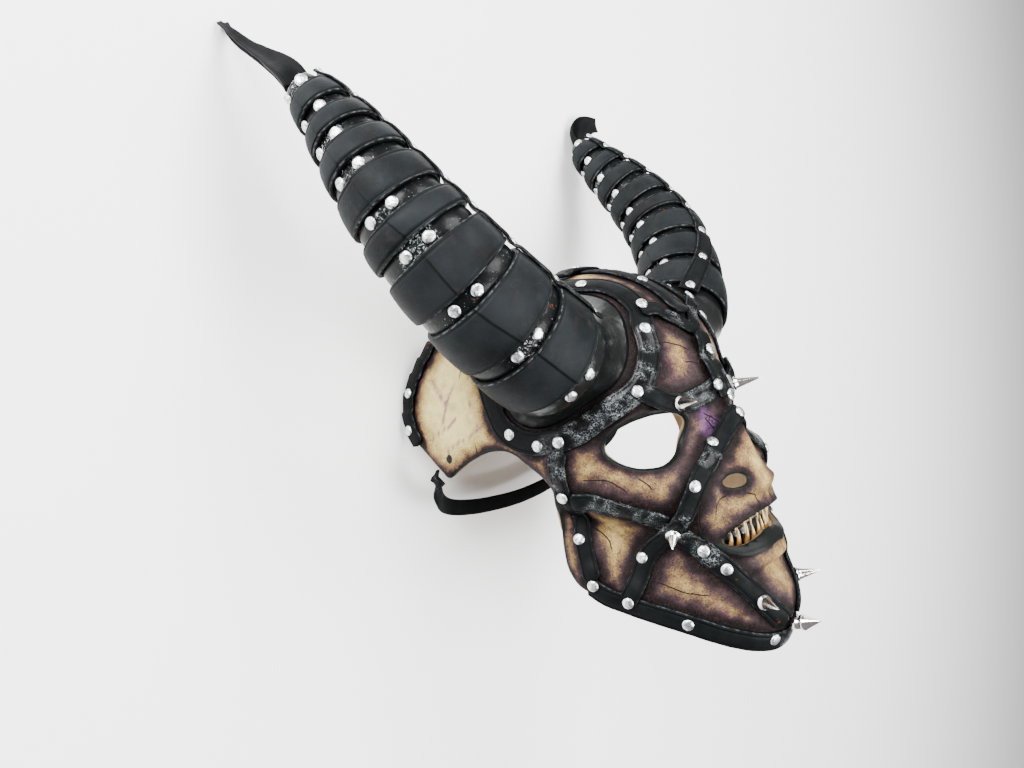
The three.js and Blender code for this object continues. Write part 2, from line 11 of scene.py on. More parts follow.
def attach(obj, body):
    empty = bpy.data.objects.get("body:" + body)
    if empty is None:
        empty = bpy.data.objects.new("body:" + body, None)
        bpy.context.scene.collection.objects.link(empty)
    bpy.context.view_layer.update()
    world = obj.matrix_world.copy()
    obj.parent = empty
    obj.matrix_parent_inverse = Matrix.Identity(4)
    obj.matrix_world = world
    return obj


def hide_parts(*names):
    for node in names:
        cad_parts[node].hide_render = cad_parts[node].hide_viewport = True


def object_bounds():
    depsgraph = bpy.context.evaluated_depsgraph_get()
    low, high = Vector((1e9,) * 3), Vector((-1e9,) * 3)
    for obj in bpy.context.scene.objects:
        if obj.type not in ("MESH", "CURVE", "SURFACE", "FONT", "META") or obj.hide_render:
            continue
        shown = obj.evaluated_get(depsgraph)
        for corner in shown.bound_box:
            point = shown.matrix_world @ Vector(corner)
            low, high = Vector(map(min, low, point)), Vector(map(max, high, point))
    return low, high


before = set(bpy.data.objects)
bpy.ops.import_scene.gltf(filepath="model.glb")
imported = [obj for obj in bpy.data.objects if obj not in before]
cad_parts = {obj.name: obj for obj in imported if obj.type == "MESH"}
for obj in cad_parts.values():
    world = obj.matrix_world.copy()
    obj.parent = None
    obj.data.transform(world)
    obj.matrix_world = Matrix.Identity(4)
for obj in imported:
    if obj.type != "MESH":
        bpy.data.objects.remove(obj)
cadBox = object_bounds()
print("frame loaded:", len(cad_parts), "nodes")

# Lengths are millimetres in the head frame: x to the wearer's right, y forward, z up, from between the ears.
# A piece turns into metres in the frame only when its mesh is made.
rest = {"pitch": math.radians(9.36), "headCentre": (5.619, -105.075, 108.871)}
headAxes = np.array([
    [-1, 0, 0],
    [0, math.sin(rest["pitch"]), math.cos(rest["pitch"])],
    [0, math.cos(rest["pitch"]), -math.sin(rest["pitch"])],
])


def toFrame(points):
    return (np.asarray(points, float) @ headAxes.T + rest["headCentre"]) / 1000


def tone(code):     # screen colour to scene colour
    channels = [int(code[i:i + 2], 16) / 255 for i in (0, 2, 4)]
    return (*[c / 12.92 if c < 0.04 else ((c + 0.055) / 1.055) ** 2.4 for c in channels], 1)


def soft(t):
    t = np.clip(t, 0, 1)
    return t * t * (3 - 2 * t)


def unit(v):
    return v / np.linalg.norm(v, axis=-1, keepdims=True)


def dot(a, b):
    return (a * b).sum(axis=-1, keepdims=True)


def through(knots):     # a smooth line through (x, value) knots
    x, y = np.array(knots, float).T
    ahead = np.minimum(np.arange(len(x)) + 1, len(x) - 1)
    behind = np.maximum(np.arange(len(x)) - 1, 0)
    slope = (y[ahead] - y[behind]) / (x[ahead] - x[behind])

    def at(value):
        i = np.clip(np.searchsorted(x, value, side="right") - 1, 0, len(x) - 2)
        step = x[i + 1] - x[i]
        t = np.clip((value - x[i]) / step, 0, 1)
        bend = step * t * (1 - t) * (slope[i] * (1 - t) - slope[i + 1] * t)
        return y[i] + (y[i + 1] - y[i]) * t * t * (3 - 2 * t) + bend
    return at


def wobble(points, size, seed=0):       # smooth noise between -1 and 1, with lumps of the given size
    q = np.asarray(points, float) / size + 17.3 * seed
    cell = np.floor(q)
    t = soft(q - cell)
    total = np.zeros(q.shape[:-1])
    for corner in itertools.product((0, 1), repeat=3):
        value = np.sin((cell + corner) @ (127.1, 311.7, 74.7)) * 43758.5453
        weight = np.where(np.array(corner) == 1, t, 1 - t).prod(axis=-1)
        total += weight * (value - np.floor(value))
    return 2 * total - 1


# The skull under the mask, by the angle above straight ahead
skull = {
    "crown": 137,
    "tunnel": 1.01,     # past the crown the wall runs straight back
    "profile": [
        (-90, 148), (-74, 152), (-60, 152), (-50, 146.5), (-42, 137), (-34, 125.5), (-25, 114.5), (-15, 109),
        (-5, 102), (5, 99), (15, 100), (25, 106), (42, 118), (55, 128), (70, 134), (90, 137),
    ],
    "halfWidth": [
        (-90, 72), (-74, 70), (-60, 65), (-42, 58), (-25, 63), (-10, 71), (5, 76), (25, 79), (45, 82),
        (70, 84), (90, 85), (120, 88), (150, 91), (180, 91),
    ],
    "boxiness": [(-90, 2.2), (-40, 2.2), (0, 2.15), (40, 2.1), (75, 2.3), (110, 2.8), (180, 3)],
    "earWidth": 75,
}
tunnelProfile = [
    (angle, skull["crown"] * skull["tunnel"] / math.sin(math.radians(angle))) for angle in range(105, 166, 15)
]
closeness = through([(angle, 100 / radius) for angle, radius in skull["profile"] + tunnelProfile])
halfWidth = through(skull["halfWidth"])
boxiness = through(skull["boxiness"])


def skullRadius(alpha, beta):
    power = boxiness(alpha)
    nearEar = soft((np.abs(np.degrees(beta)) - 70) / 14)
    width = halfWidth(alpha) + (skull["earWidth"] - halfWidth(alpha)) * nearEar
    across = np.abs(np.sin(beta)) / width
    along = np.abs(np.cos(beta)) * closeness(alpha) / 100
    return (across ** power + along ** power) ** (-1 / power)


faceForms = [       # how high, how far out to each side, at what height, how wide and how tall
    (0.5, 0, 40, 12, 9), (-4, 32, 40, 18, 10), (-4, 32, 58, 18, 11),        # brow and forehead
    (-9, 37, 20, 17, 11), (-6, 17, 20, 9, 11),      # eye sockets
    (3.5, 14, -15, 6.5, 7),     # wings of the nose
    (5, 52, -4, 20, 13), (-5, 50, -38, 16, 18),     # cheekbones, and the hollows under them
    (1.2, 0, -34, 24, 9), (4.5, 0, -57, 22, 8), (-3, 0, -46, 22, 5),        # lips
    (4.5, 0, -87, 19, 13), (-7, 0, -69, 21, 6),     # chin, and the dip above it
]


def relief(x, z):       # the features that stand over the skull
    side = np.abs(x)
    h = sum(rise * np.exp(-((side - atX) / wide) ** 2 - ((z - atZ) / tall) ** 2)
            for rise, atX, atZ, wide, tall in faceForms)
    down = np.clip((26 - z) / 40, 0, 1.25)      # how far down the nose
    ridge = (6 + 1.2 * down) * soft((34 - z) / 12) * soft((z + 25) / 9)
    h += ridge * np.exp(-(side / (7.5 + 5 * down)) ** 2.2)
    fold = np.exp(-((side - 27 + 0.35 * (z + 20)) / 4.5) ** 2)      # from the nose to the corner of the mouth
    return h - 3.5 * fold * soft((z + 52) / 14) * soft((-8 - z) / 10)


def skin(points):
    d = unit(np.asarray(points, float))
    alpha = np.degrees(np.arctan2(d[..., 2], d[..., 1]))
    radius = skullRadius(alpha, np.arcsin(np.clip(d[..., 0], -1, 1)))
    fade = soft((d[..., 1] * radius - 5) / 40)
    return d * (radius + fade * relief(d[..., 0] * radius, d[..., 2] * radius))[..., None]


def normalOf(surface, points, reach=1.2):
    points = np.asarray(points, float)
    out = unit(points)
    a = unit(np.cross(out, (0.31, 0.2, 0.93)))
    b = np.cross(out, a)
    across = surface(points + reach * a) - surface(points - reach * a)
    along = surface(points + reach * b) - surface(points - reach * b)
    normal = unit(np.cross(across, along))
    return normal * np.sign(dot(normal, out))


def skinNormal(points):
    return normalOf(skin, points)


def lifted(points, height):
    return skin(points) + skinNormal(points) * np.asarray(height)[..., None]


def direction(alpha, beta):
    a, b = np.radians(alpha), np.radians(beta)
    return np.stack([np.sin(b), np.cos(b) * np.cos(a), np.cos(b) * np.sin(a)], axis=-1)


# A socket that can be added, multiplied and compared like a number
class Signal:
    def __init__(self, finish, socket):
        self.finish = finish
        self.socket = socket

    def __add__(self, other):
        return self.finish.maths("ADD", self, other)

    __radd__ = __add__

    def __sub__(self, other):
        return self.finish.maths("SUBTRACT", self, other)

    def __rsub__(self, other):
        return self.finish.maths("SUBTRACT", other, self)

    def __mul__(self, other):
        return self.finish.maths("MULTIPLY", self, other)

    __rmul__ = __mul__


# One material and its nodes
class Finish:
    def __init__(self, name, **plain):
        self.material = bpy.data.materials.new(name)
        self.material.use_nodes = True
        self.tree = self.material.node_tree
        self.shader = self.tree.nodes["Principled BSDF"]
        for socket, value in plain.items():
            self.shader.inputs[socket.replace("_", " ")].default_value = value
        self.place = self.node("ShaderNodeTexCoord", out="Object")

    def node(self, kind, settings=None, sockets=None, out=0):
        node = self.tree.nodes.new(kind)
        for key, value in (settings or {}).items():
            if key == "stops":
                ramp = node.color_ramp
                while len(ramp.elements) < len(value):
                    ramp.elements.new(1)
                for element, (position, colour) in zip(ramp.elements, value):
                    element.position = position
                    element.color = tone(colour)
            else:
                setattr(node, key, value)
        for key, value in (sockets or {}).items():
            self.feed(node.inputs[key], value)
        return Signal(self, node.outputs[out])

    def feed(self, socket, value):
        if isinstance(value, Signal):
            self.tree.links.new(value.socket, socket)
        else:
            socket.default_value = tone(value) if isinstance(value, str) else value

    def maths(self, operation, a, b=0.0):
        return self.node("ShaderNodeMath", {"operation": operation}, {0: a, 1: b})

    def field(self, name):
        return self.node("ShaderNodeAttribute", {"attribute_name": name}, out="Fac")

    def noise(self, size, detail=3, distortion=0.0, roughness=0.5):      # size of the lumps, in millimetres
        sockets = {"Vector": self.place, "Scale": 1000 / size, "Detail": detail, "Roughness": roughness,
                   "Distortion": distortion}
        return self.node("ShaderNodeTexNoise", sockets=sockets)

    def cells(self, size, feature="F1", warp=None):
        sockets = {"Vector": warp or self.place, "Scale": 1000 / size}
        return self.node("ShaderNodeTexVoronoi", {"feature": feature}, sockets, out="Distance")

    def warped(self, size, amount):     # the place, pushed about by noise
        sockets = {"Vector": self.place, "Scale": 1000 / size}
        push = self.node("ShaderNodeTexNoise", sockets=sockets, out="Color")
        scaled = self.node("ShaderNodeVectorMath", {"operation": "SCALE"}, {0: push, "Scale": amount / 1000})
        return self.node("ShaderNodeVectorMath", {"operation": "ADD"}, {0: self.place, 1: scaled})

    def between(self, signal, low, high):       # smooth step from 0 at low to 1 at high
        settings = {"interpolation_type": "SMOOTHSTEP"}
        return self.node("ShaderNodeMapRange", settings, {0: signal, 1: low, 2: high})

    def patches(self, size, low, high, detail=3, distortion=0.0):       # lumps of noise that rise past low
        return self.between(self.noise(size, detail, distortion), low, high)

    def sway(self, amount, size, detail=3, distortion=0.0):     # noise about zero
        return (self.noise(size, detail, distortion) - 0.5) * amount

    def crazing(self, size, warp, width):       # fine lines between warped cells
        return 1 - self.between(self.cells(size, "DISTANCE_TO_EDGE", self.warped(*warp)), 0.0, width)

    def mix(self, factor, a, b, blend="MIX"):
        settings = {"data_type": "RGBA", "blend_type": blend}
        return self.node("ShaderNodeMix", settings, {0: factor, 6: a, 7: b}, out=2)

    def ramp(self, signal, stops):
        return self.node("ShaderNodeValToRGB", {"stops": stops}, {0: signal})

    def bump(self, height, distance, strength=1.0):
        sockets = {"Height": height, "Distance": distance / 1000, "Strength": strength}
        return self.node("ShaderNodeBump", sockets=sockets, out="Normal")

    def give(self, **links):
        for socket, value in links.items():
            self.feed(self.shader.inputs[socket.replace("_", " ")], value)
        return self.material


def tanFinish():
    f = Finish("airbrushed tan leather", Coat_Roughness=0.35, Specular_IOR_Level=0.08)
    shade = f.field("shade") + f.sway(0.5, 6, 5) + f.sway(0.35, 1.1, 3, 0.8)
    hide = f.ramp(shade, [
        (0, "c4b078"), (0.26, "9c8452"), (0.46, "6a5438"), (0.64, "35282a"), (0.82, "181216"), (1, "070607"),
    ])
    paleHide = f.ramp(shade, [
        (0, "bcac74"), (0.35, "9f8b55"), (0.6, "6b5036"), (0.8, "271c1e"), (1, "080708"),
    ])
    colour = f.mix(f.field("pale"), hide, paleHide)
    colour = f.mix(f.patches(9, 0.5, 0.72) * 0.35, colour, "9f8c86", "MULTIPLY")
    wrinkle = f.crazing(3.4, (4, 6), 0.055) * f.field("crackle") * f.patches(7, 0.4, 0.6)
    colour = f.mix(wrinkle * 0.45, colour, "4a2c34")
    hair = f.crazing(1.7, (2.5, 4), 0.09)
    colour = f.mix(hair * f.between(shade, 0.0, 0.5) * 0.75, colour, "24170f")
    spots = 1 - f.between(f.cells(5.5, "F1", f.warped(9, 12)), 0.05, 0.1)
    spots = spots * f.patches(16, 0.5, 0.6)
    colour = f.mix(spots * 0.8, colour, "3a2c22")
    violet = f.field("violet") * f.patches(4, 0.25, 0.6)
    colour = f.mix(violet * 0.45, colour, "6f4679")
    vein = f.field("vein") * f.patches(2.2, 0.2, 0.5) * (0.3 + f.field("pale") * 0.6)
    colour = f.mix(vein, colour, "62304f")
    black = f.between(f.field("black") + f.sway(0.3, 2), 0.3, 0.62)
    colour = f.mix(black, colour, f.mix(f.noise(3), "020302", "0b0f0d"))
    line = f.maths("ABSOLUTE", f.field("line") + f.sway(0.5, 1.5, 2))
    line = (1 - f.between(line, 0.22, 0.5)) * f.field("lineNear")
    colour = f.mix(line, colour, "120d0e")
    inside = f.field("inside")
    colour = f.mix(inside, colour, f.mix(f.noise(6, 4), "b39d80", "937a5c"))
    rough = 0.5 + 0.16 * f.noise(3) - 0.12 * black + 0.2 * inside
    grain = f.noise(0.7, 4) * 0.5 + f.cells(1.3) * 0.35 - line * 1.2 - wrinkle * 0.6 - hair * 0.25
    return f.give(Base_Color=colour, Roughness=rough, Coat_Weight=black * 0.06, Normal=f.bump(grain, 0.3))


def strapFinish():
    f = Finish("painted black leather", Coat_Roughness=0.18, Specular_IOR_Level=0.03)
    glaze = f.between(f.field("glaze") + f.sway(0.7, 9, 4), 0.3, 0.75)
    crust = f.noise(2.0, 6, 2.6, 0.75)
    fleck = f.between(crust, 0.5, 0.62) * glaze * f.patches(8, 0.4, 0.62, 4)
    body = f.mix(f.noise(7), "040505", "111314")
    # the groove near each edge darker: partly a black edge line, partly painted shade in the groove
    body = f.mix(f.field("edge"), body, "030304")
    # painted highlight: light grey along the straps' outer top edges, broken up by noise
    rim_highlight = f.between(f.field("rim") + f.sway(1.2, 2.5), 0.8, 1.2)
    body = f.mix(rim_highlight * 0.5, body, "4a4f52")
    colour = f.mix(glaze * 0.6, body, "060708")
    colour = f.mix(fleck * 0.9, colour, "8b9194")
    rust = f.patches(11, 0.71, 0.74, 2) * f.patches(1.6, 0.5, 0.6)
    colour = f.mix(rust * 0.6, colour, "5a2c12")
    rough = 0.42 + 0.14 * f.noise(2.2) - 0.24 * glaze
    height = f.noise(0.8, 4) * 0.22 + f.noise(4) * 0.3 + crust * glaze * 2.2
    return f.give(Base_Color=colour, Roughness=rough, Metallic=fleck * 0.4, Coat_Weight=glaze * 0.15,
                  Normal=f.bump(height, 0.5))


def plateFinish():
    f = Finish("charcoal horn leather", Specular_IOR_Level=0.06)
    # mottled tone: the lighter and bluish-green patches are partly the leather's own tone, partly a painted
    # sheen
    tone_and_sheen = f.mix(f.patches(26, 0.2, 0.8), "060708", "171a1c")
    tone_and_sheen = f.mix(f.patches(14, 0.52, 0.75) * 0.5, tone_and_sheen, "10191b")
    tone_and_sheen = f.mix(f.patches(10, 0.6, 0.72, 4) * 0.4, tone_and_sheen, "241c1e")
    # the raised rims go near-black, partly black edge paint and partly painted shade at the plate ends, with
    # a painted highlight where noise lifts rim_highlight
    rim_highlight = f.between(f.field("rim") + f.sway(1.2, 3), 0.85, 1.3)
    colour = f.mix(f.field("rim"), tone_and_sheen, "040505")
    colour = f.mix(rim_highlight * 0.6, colour, "5c6163")
    colour = f.mix(f.field("edge"), colour, "060708")
    scratch = f.crazing(2.6, (12, 30), 0.03)
    colour = f.mix(scratch * f.patches(18, 0.55, 0.7) * 0.4, colour, "33373a")
    rough = 0.4 + 0.15 * f.noise(5) + 0.1 * f.noise(1.2)
    height = f.noise(0.9, 4) * 0.2 + f.noise(9, 2) * 0.5 - scratch * 0.12
    return f.give(Base_Color=colour, Roughness=rough, Normal=f.bump(height, 0.45))


def stripFinish():
    f = Finish("glossy black strip", Coat_Roughness=0.1, Specular_IOR_Level=0.08)
    glaze = f.between(f.field("glaze") + f.sway(0.7, 5), 0.5, 0.72)
    crust = f.noise(2.8, 6, 2.2, 0.72)
    fleck = f.between(crust, 0.54, 0.62) * glaze
    # fine light specks: partly dust, partly painted glints on the gloss
    dust_and_glints = f.patches(0.9, 0.68, 0.72, 2) * f.patches(8, 0.45, 0.6)
    body = f.mix(f.noise(12), "030404", "0b0d0e")
    # painted highlight along any rim, broken up by noise
    rim_highlight = f.between(f.field("rim") + f.sway(0.5, 2.2), 0.4, 0.8)
    body = f.mix(rim_highlight * 0.5, body, "4a4e50")
    body = f.mix(f.field("edge"), body, "020202")
    colour = f.mix(fleck * 0.9 + dust_and_glints * 0.5, body, "b4bbbd")
    rust = f.patches(10, 0.7, 0.73, 2) * f.patches(1.4, 0.5, 0.6)
    colour = f.mix(rust * 0.6, colour, "6a3211")
    rough = 0.24 + 0.2 * f.noise(3.2) - 0.08 * glaze
    height = f.noise(3.5) * 0.5 + f.noise(0.8) * 0.15 + crust * glaze * 2.0
    return f.give(Base_Color=colour, Roughness=rough, Metallic=fleck * 0.6, Coat_Weight=0.06,
                  Normal=f.bump(height, 0.5))


def glossFinish():
    f = Finish("gloss black collar", Coat_Roughness=0.08, Specular_IOR_Level=0.2)
    colour = f.mix(f.noise(15), "030404", "0b0d0d")
    colour = f.mix(f.patches(9, 0.6, 0.75, 2) * 0.25, colour, "20220f")
    rough = 0.22 + 0.22 * f.noise(8, 4)
    return f.give(Base_Color=colour, Roughness=rough, Coat_Weight=0.2, Normal=f.bump(f.noise(7), 0.7))


def metalFinish():
    f = Finish("bright rivet metal", Metallic=1.0)
    colour = f.mix(f.patches(1.6, 0.45, 0.7, 4), "dadddd", "757b7c")
    grime = f.patches(2.6, 0.6, 0.75, 4)
    colour = f.mix(grime * 0.5, colour, "3d3a36")
    rough = 0.2 + 0.22 * f.noise(1.4)
    dents = f.noise(1.9) + 0.3 * f.noise(0.6, 2)
    return f.give(Base_Color=colour, Roughness=rough, Normal=f.bump(dents, 0.45))


def spikeFinish():
    f = Finish("polished spike metal", Metallic=1.0)
    colour = f.mix(f.noise(3), "f2f1ee", "b9b6b0")
    rough = 0.1 + 0.12 * f.noise(2)
    return f.give(Base_Color=colour, Roughness=rough, Normal=f.bump(f.noise(1.5, 2), 0.08))


def toothFinish():
    f = Finish("amber teeth", Coat_Roughness=0.12, Specular_IOR_Level=0.5)
    along = f.field("along") + f.sway(0.45, 1.6)
    colour = f.ramp(along, [
        (0, "120904"), (0.28, "4a2c12"), (0.5, "8a6330"), (0.75, "bfa468"), (1, "b8a67c"),
    ])
    streak = f.patches(0.9, 0.52, 0.64, 4, 1.5)
    colour = f.mix(streak * 0.55, colour, "3b2412")
    colour = f.mix(f.field("gum"), colour, "0a0807")
    return f.give(Base_Color=colour, Roughness=0.25 + 0.2 * f.noise(2), Coat_Weight=0.4,
                  Normal=f.bump(f.noise(1.0), 0.25))


finishes = {
    "tan_leather": tanFinish(),
    "black_leather": strapFinish(),
    "horn_plate": plateFinish(),
    "horn_strip": stripFinish(),
    "gloss_leather": glossFinish(),
    "rivet": metalFinish(),
    "spike": spikeFinish(),
    "tooth_resin": toothFinish(),
}
print("finishes made:", len(finishes))


def makePiece(name, points, faces, finish, replaces=(), fields=None):
    mesh = bpy.data.meshes.new(name)
    inBox = np.clip(toFrame(points), *map(np.array, cadBox))     # nothing leaves the box or enters the floor
    mesh.from_pydata(inBox.tolist(), [], faces)
    for field, values in (fields or {}).items():
        layer = mesh.attributes.new(field, "FLOAT", "POINT")
        layer.data.foreach_set("value", np.asarray(values, dtype=np.float32).ravel())
    work = bmesh.new()
    work.from_mesh(mesh)
    bmesh.ops.recalc_face_normals(work, faces=work.faces)
    work.to_mesh(mesh)
    work.free()
    mesh.shade_smooth()
    mesh.materials.append(finishes[finish])
    piece = bpy.data.objects.new(name, mesh)
    bpy.context.scene.collection.objects.link(piece)
    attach(piece, "root")
    if replaces:
        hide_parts(*replaces)
    return piece


def gridFaces(rows, columns, closeRows=False, closeColumns=True, caps=True, start=0):
    faces = []
    for i in range(rows if closeRows else rows - 1):
        for j in range(columns if closeColumns else columns - 1):
            a = i * columns + j
            b = i * columns + (j + 1) % columns
            c = (i + 1) % rows * columns + (j + 1) % columns
            d = (i + 1) % rows * columns + j
            faces.append([start + a, start + b, start + c, start + d])
    if caps and not closeRows:
        faces.append([start + j for j in range(columns)])
        faces.append([start + (rows - 1) * columns + j for j in reversed(range(columns))])
    return faces


# Several closed shapes gathered into one piece
class Bundle:
    def __init__(self):
        self.points = []
        self.faces = []
        self.fields = {}

    def add(self, rings, closed=False, fields=None):
        rows, columns = rings.shape[:2]
        start = sum(len(p) for p in self.points)
        self.points.append(rings.reshape(-1, 3))
        self.faces += gridFaces(rows, columns, closeRows=closed, start=start)
        for field, values in (fields or {}).items():
            self.fields.setdefault(field, []).append(np.broadcast_to(values, (rows, columns)).ravel())

    def make(self, name, finish, replaces=()):
        fields = {field: np.concatenate(values) for field, values in self.fields.items()}
        return makePiece(name, np.concatenate(self.points), self.faces, finish, replaces, fields)


def turned(place, axis, profile, sides=28, dent=0.0):     # a lathe shape standing at a place
    axis = unit(np.asarray(axis, float))
    u = unit(np.cross(axis, (0.3, 0.95, 0.1)))
    v = np.cross(axis, u)
    angle = np.arange(sides) * 2 * math.pi / sides
    circle = np.cos(angle)[:, None] * u + np.sin(angle)[:, None] * v
    rings = np.array([place + axis * height + circle * radius for height, radius in profile])
    if dent:
        rings += axis * (wobble(rings, 2.4) * dent)[..., None]
    return rings


rivet = {
    "profile": [(-0.6, 3.1), (0.0, 3.5), (0.5, 3.5), (1.0, 3.1), (1.35, 2.3), (1.5, 1.3), (1.55, 0.3)],
    "sink": 0.25,
    "dent": 0.12,
}


def addRivet(bundle, place, axis):
    place = np.asarray(place, float) - np.asarray(axis) * rivet["sink"]
    bundle.add(turned(place, axis, rivet["profile"], dent=rivet["dent"]))


# Straps. A route is a list of places near the skin; the strap is pressed onto the skin under them.
straps = {
    "leather": 2.4,
    "layGap": 0.15,
    "stackGap": 0.15,
    "clearance": 0.6,
    "ramp": 0.45,       # how steeply a strap climbs over another
    "step": 1.6,
    "section": [        # across from edge to edge as a share of the half width, and height
        (-1.0, 0.2), (-1.0, 1.7), (-0.93, 2.2), (-0.8, 2.4), (-0.72, 2.4), (-0.68, 2.12), (-0.63, 2.4),
        (-0.3, 2.55), (0.0, 2.6), (0.3, 2.55), (0.63, 2.4), (0.68, 2.12), (0.72, 2.4), (0.8, 2.4),
        (0.93, 2.2), (1.0, 1.7), (1.0, 0.2), (0.85, 0.0), (0.0, 0.0), (-0.85, 0.0),
    ],
    "endRound": 1.5,
}
strapSection = np.array(straps["section"]).T
glazeSpots = [      # where the paint has crazed into silvery flakes, with the reach of each
    (62, 46, -13, 24), (52, 66, -20, 14), (70, 46, 42, 17), (58, 66, 50, 15), (46, 76, 60, 12),
    (20, 95, 42, 14), (0, 98, 46, 9), (28, 93, 4, 11), (46, 77, -27, 13), (38, 84, -44, 13), (34, 78, 80, 12),
    (78, 26, 16, 14), (80, 26, 34, 12), (12, 83, 88, 9), (2, 93, 62, 9), (0, 98, -110, 12),
]


def walk(route, closed, step):
    knots = np.array(route, float)
    if closed:
        knots = np.concatenate([knots[-1:], knots, knots[:2]])
    else:
        knots = np.concatenate([[2 * knots[0] - knots[1]], knots, [2 * knots[-1] - knots[-2]]])
    t = np.linspace(0, 1, 60, endpoint=False)[:, None]
    runs = []
    for a, b, c, d in zip(knots, knots[1:], knots[2:], knots[3:]):
        runs.append(0.5 * (2 * b + (c - a) * t + (2 * a - 5 * b + 4 * c - d) * t ** 2
                           + (3 * b - a - 3 * c + d) * t ** 3))
    path = np.concatenate(runs + [knots[-2:-1]])
    lengths = np.concatenate([[0], np.cumsum(np.linalg.norm(np.diff(path, axis=0), axis=1))])
    count = round(lengths[-1] / step)
    stops = np.linspace(0, lengths[-1], count + 1)[:count if closed else None]
    return np.stack([np.interp(stops, lengths, path[:, k]) for k in range(3)], axis=-1)


laid = []


def layOut(name, route, width, closed=False):       # over the straps that already lie there
    centre = skin(walk(route, closed, straps["step"]))
    need = np.full(len(centre), straps["layGap"])
    for other in laid:
        away = np.linalg.norm(centre[:, None] - other["centre"][None], axis=-1)
        near = away < (width + other["width"]) / 2 + straps["clearance"]
        over = np.where(near, other["lift"] + straps["leather"], 0)
        need = np.maximum(need, over.max(axis=1) + straps["stackGap"])
    index = np.arange(len(centre))
    away = np.abs(index[:, None] - index[None])
    if closed:
        away = np.minimum(away, len(centre) - away)
    lift = (need[None] - straps["ramp"] * straps["step"] * away).max(axis=1)
    lift = np.maximum(lift, straps["layGap"])
    weights = np.exp(-(away / 1.6) ** 2)
    lift = (weights @ lift) / weights.sum(axis=1)
    laid.append({"name": name, "centre": centre, "lift": lift, "width": width, "closed": closed})


def mirrored(route):
    return [(-x, y, z) for x, y, z in route]


def bothSides(route):
    return route + mirrored(route)[::-1][1:]


def nearness(points, spots):    # 1 on a spot, fading to 0 at its reach, on both sides of the face
    points = np.asarray(points, float)
    folded = np.stack([np.abs(points[..., 0]), points[..., 1], points[..., 2]], axis=-1)
    best = np.zeros(folded.shape[:-1])
    for x, y, z, reach in spots:
        away = np.linalg.norm(folded - (x, y, z), axis=-1)
        best = np.maximum(best, soft(1.25 - away / reach))
    return best


routes = {      # width, how it lies, and its places: right through to the other side, one a side, or alone
    "jaw_strap": (12, "through", [
        (66, 15, -56), (64, 24, -65), (59, 35, -70.5), (47, 64, -86.5), (31, 85, -101), (13, 96, -110),
        (0, 98, -113),
    ]),
    "rear_edge_strap": (11, "through", [
        (90, -85, 52), (88.5, -91, 64), (87, -94, 76), (81, -90, 92), (70, -78, 108), (50, -65, 124),
        (25, -57, 135), (0, -55, 139),
    ]),
    "horn_ring_strap": (14, "pair", [
        (33, 77, 89), (37, 79, 74), (44, 78, 62), (52, 72, 53), (66, 55, 44), (74, 42, 39), (80, 24, 37),
        (85, 8, 41), (86, -6, 52), (83, -13, 72), (76, -18, 95), (60, -18, 118), (44, -6, 131), (36, 14, 132),
        (31, 38, 126), (26, 52, 121), (25, 64, 113), (27, 73, 101),
    ]),
    "ear_strap": (10, "pair", [(78, 30, 31), (79, 24, 18), (76, 22, 2), (66, 17, -29), (66, 19, -52)]),
    "cheek_strap": (12, "pair", [(74, 27, 0), (66, 37, -4), (57, 57, -15), (49, 70, -24)]),
    "brow_strap": (11, "through", [(50, 74, 54), (42, 84, 46), (30, 92, 42), (14, 97, 43), (0, 98, 46)]),
    "hairline_strap": (9, "through", [(28, 73, 96), (20, 77, 95), (10, 83, 88), (0, 88, 80)]),
    "nose_bridge_strap": (11, "through", [
        (60, 36, -68), (51, 50, -47), (47, 72, -27), (41, 88, -6), (27, 93, 4), (13, 94, 12), (0, 99, 24),
    ]),
    "chin_strap": (12, "pair", [(45, 75, -30), (39, 85, -48), (33, 93, -61), (21, 101, -83), (8, 102, -98)]),
    "forehead_strap": (12, "alone", [(0, 89, 76), (2, 93, 62), (3, 96, 50), (1, 98, 37)]),
    "crown_strap": (12, "alone", [(0, 84, 90), (0, 72, 108), (0, 40, 128), (0, 0, 137), (0, -44, 138)]),
    "crown_tab": (14, "alone", [(-27, 14, 135), (0, 16, 137), (27, 14, 135)]),
}
closedStrap = "horn_ring_strap"
sides = {"right": list, "left": mirrored}
for name, (width, lies, places) in routes.items():
    if lies == "pair":
        for side, turn in sides.items():
            layOut(f"{name}_{side}", turn(places), width, name == closedStrap)
    else:
        layOut(name, bothSides(places) if lies == "through" else places, width)


def strapRings(strap):
    centre, width, closed = strap["centre"], strap["width"], strap["closed"]
    ahead = np.roll(centre, -1, axis=0) if closed else np.concatenate([centre[1:], centre[-1:]])
    behind = np.roll(centre, 1, axis=0) if closed else np.concatenate([centre[:1], centre[:-1]])
    out = skinNormal(centre)
    across = unit(np.cross(ahead - behind, out))
    share, height = strapSection
    half = width / 2 * (1 + 0.05 * wobble(centre, 11))
    if not closed:
        fromEnd = np.minimum(np.arange(len(centre)), np.arange(len(centre))[::-1]) * straps["step"]
        rounding = np.clip(1 - fromEnd / straps["endRound"], 0, 1)
        half = half * np.sqrt(1 - 0.75 * rounding ** 2)
    spread = centre[:, None] + across[:, None] * (half[:, None] * share)[..., None]
    lift = strap["lift"] + 0.18 * wobble(centre, 8, 3)
    rise = lift[:, None] + height * (1 + 0.08 * wobble(centre, 6, 5))[:, None]
    return lifted(spread, rise)


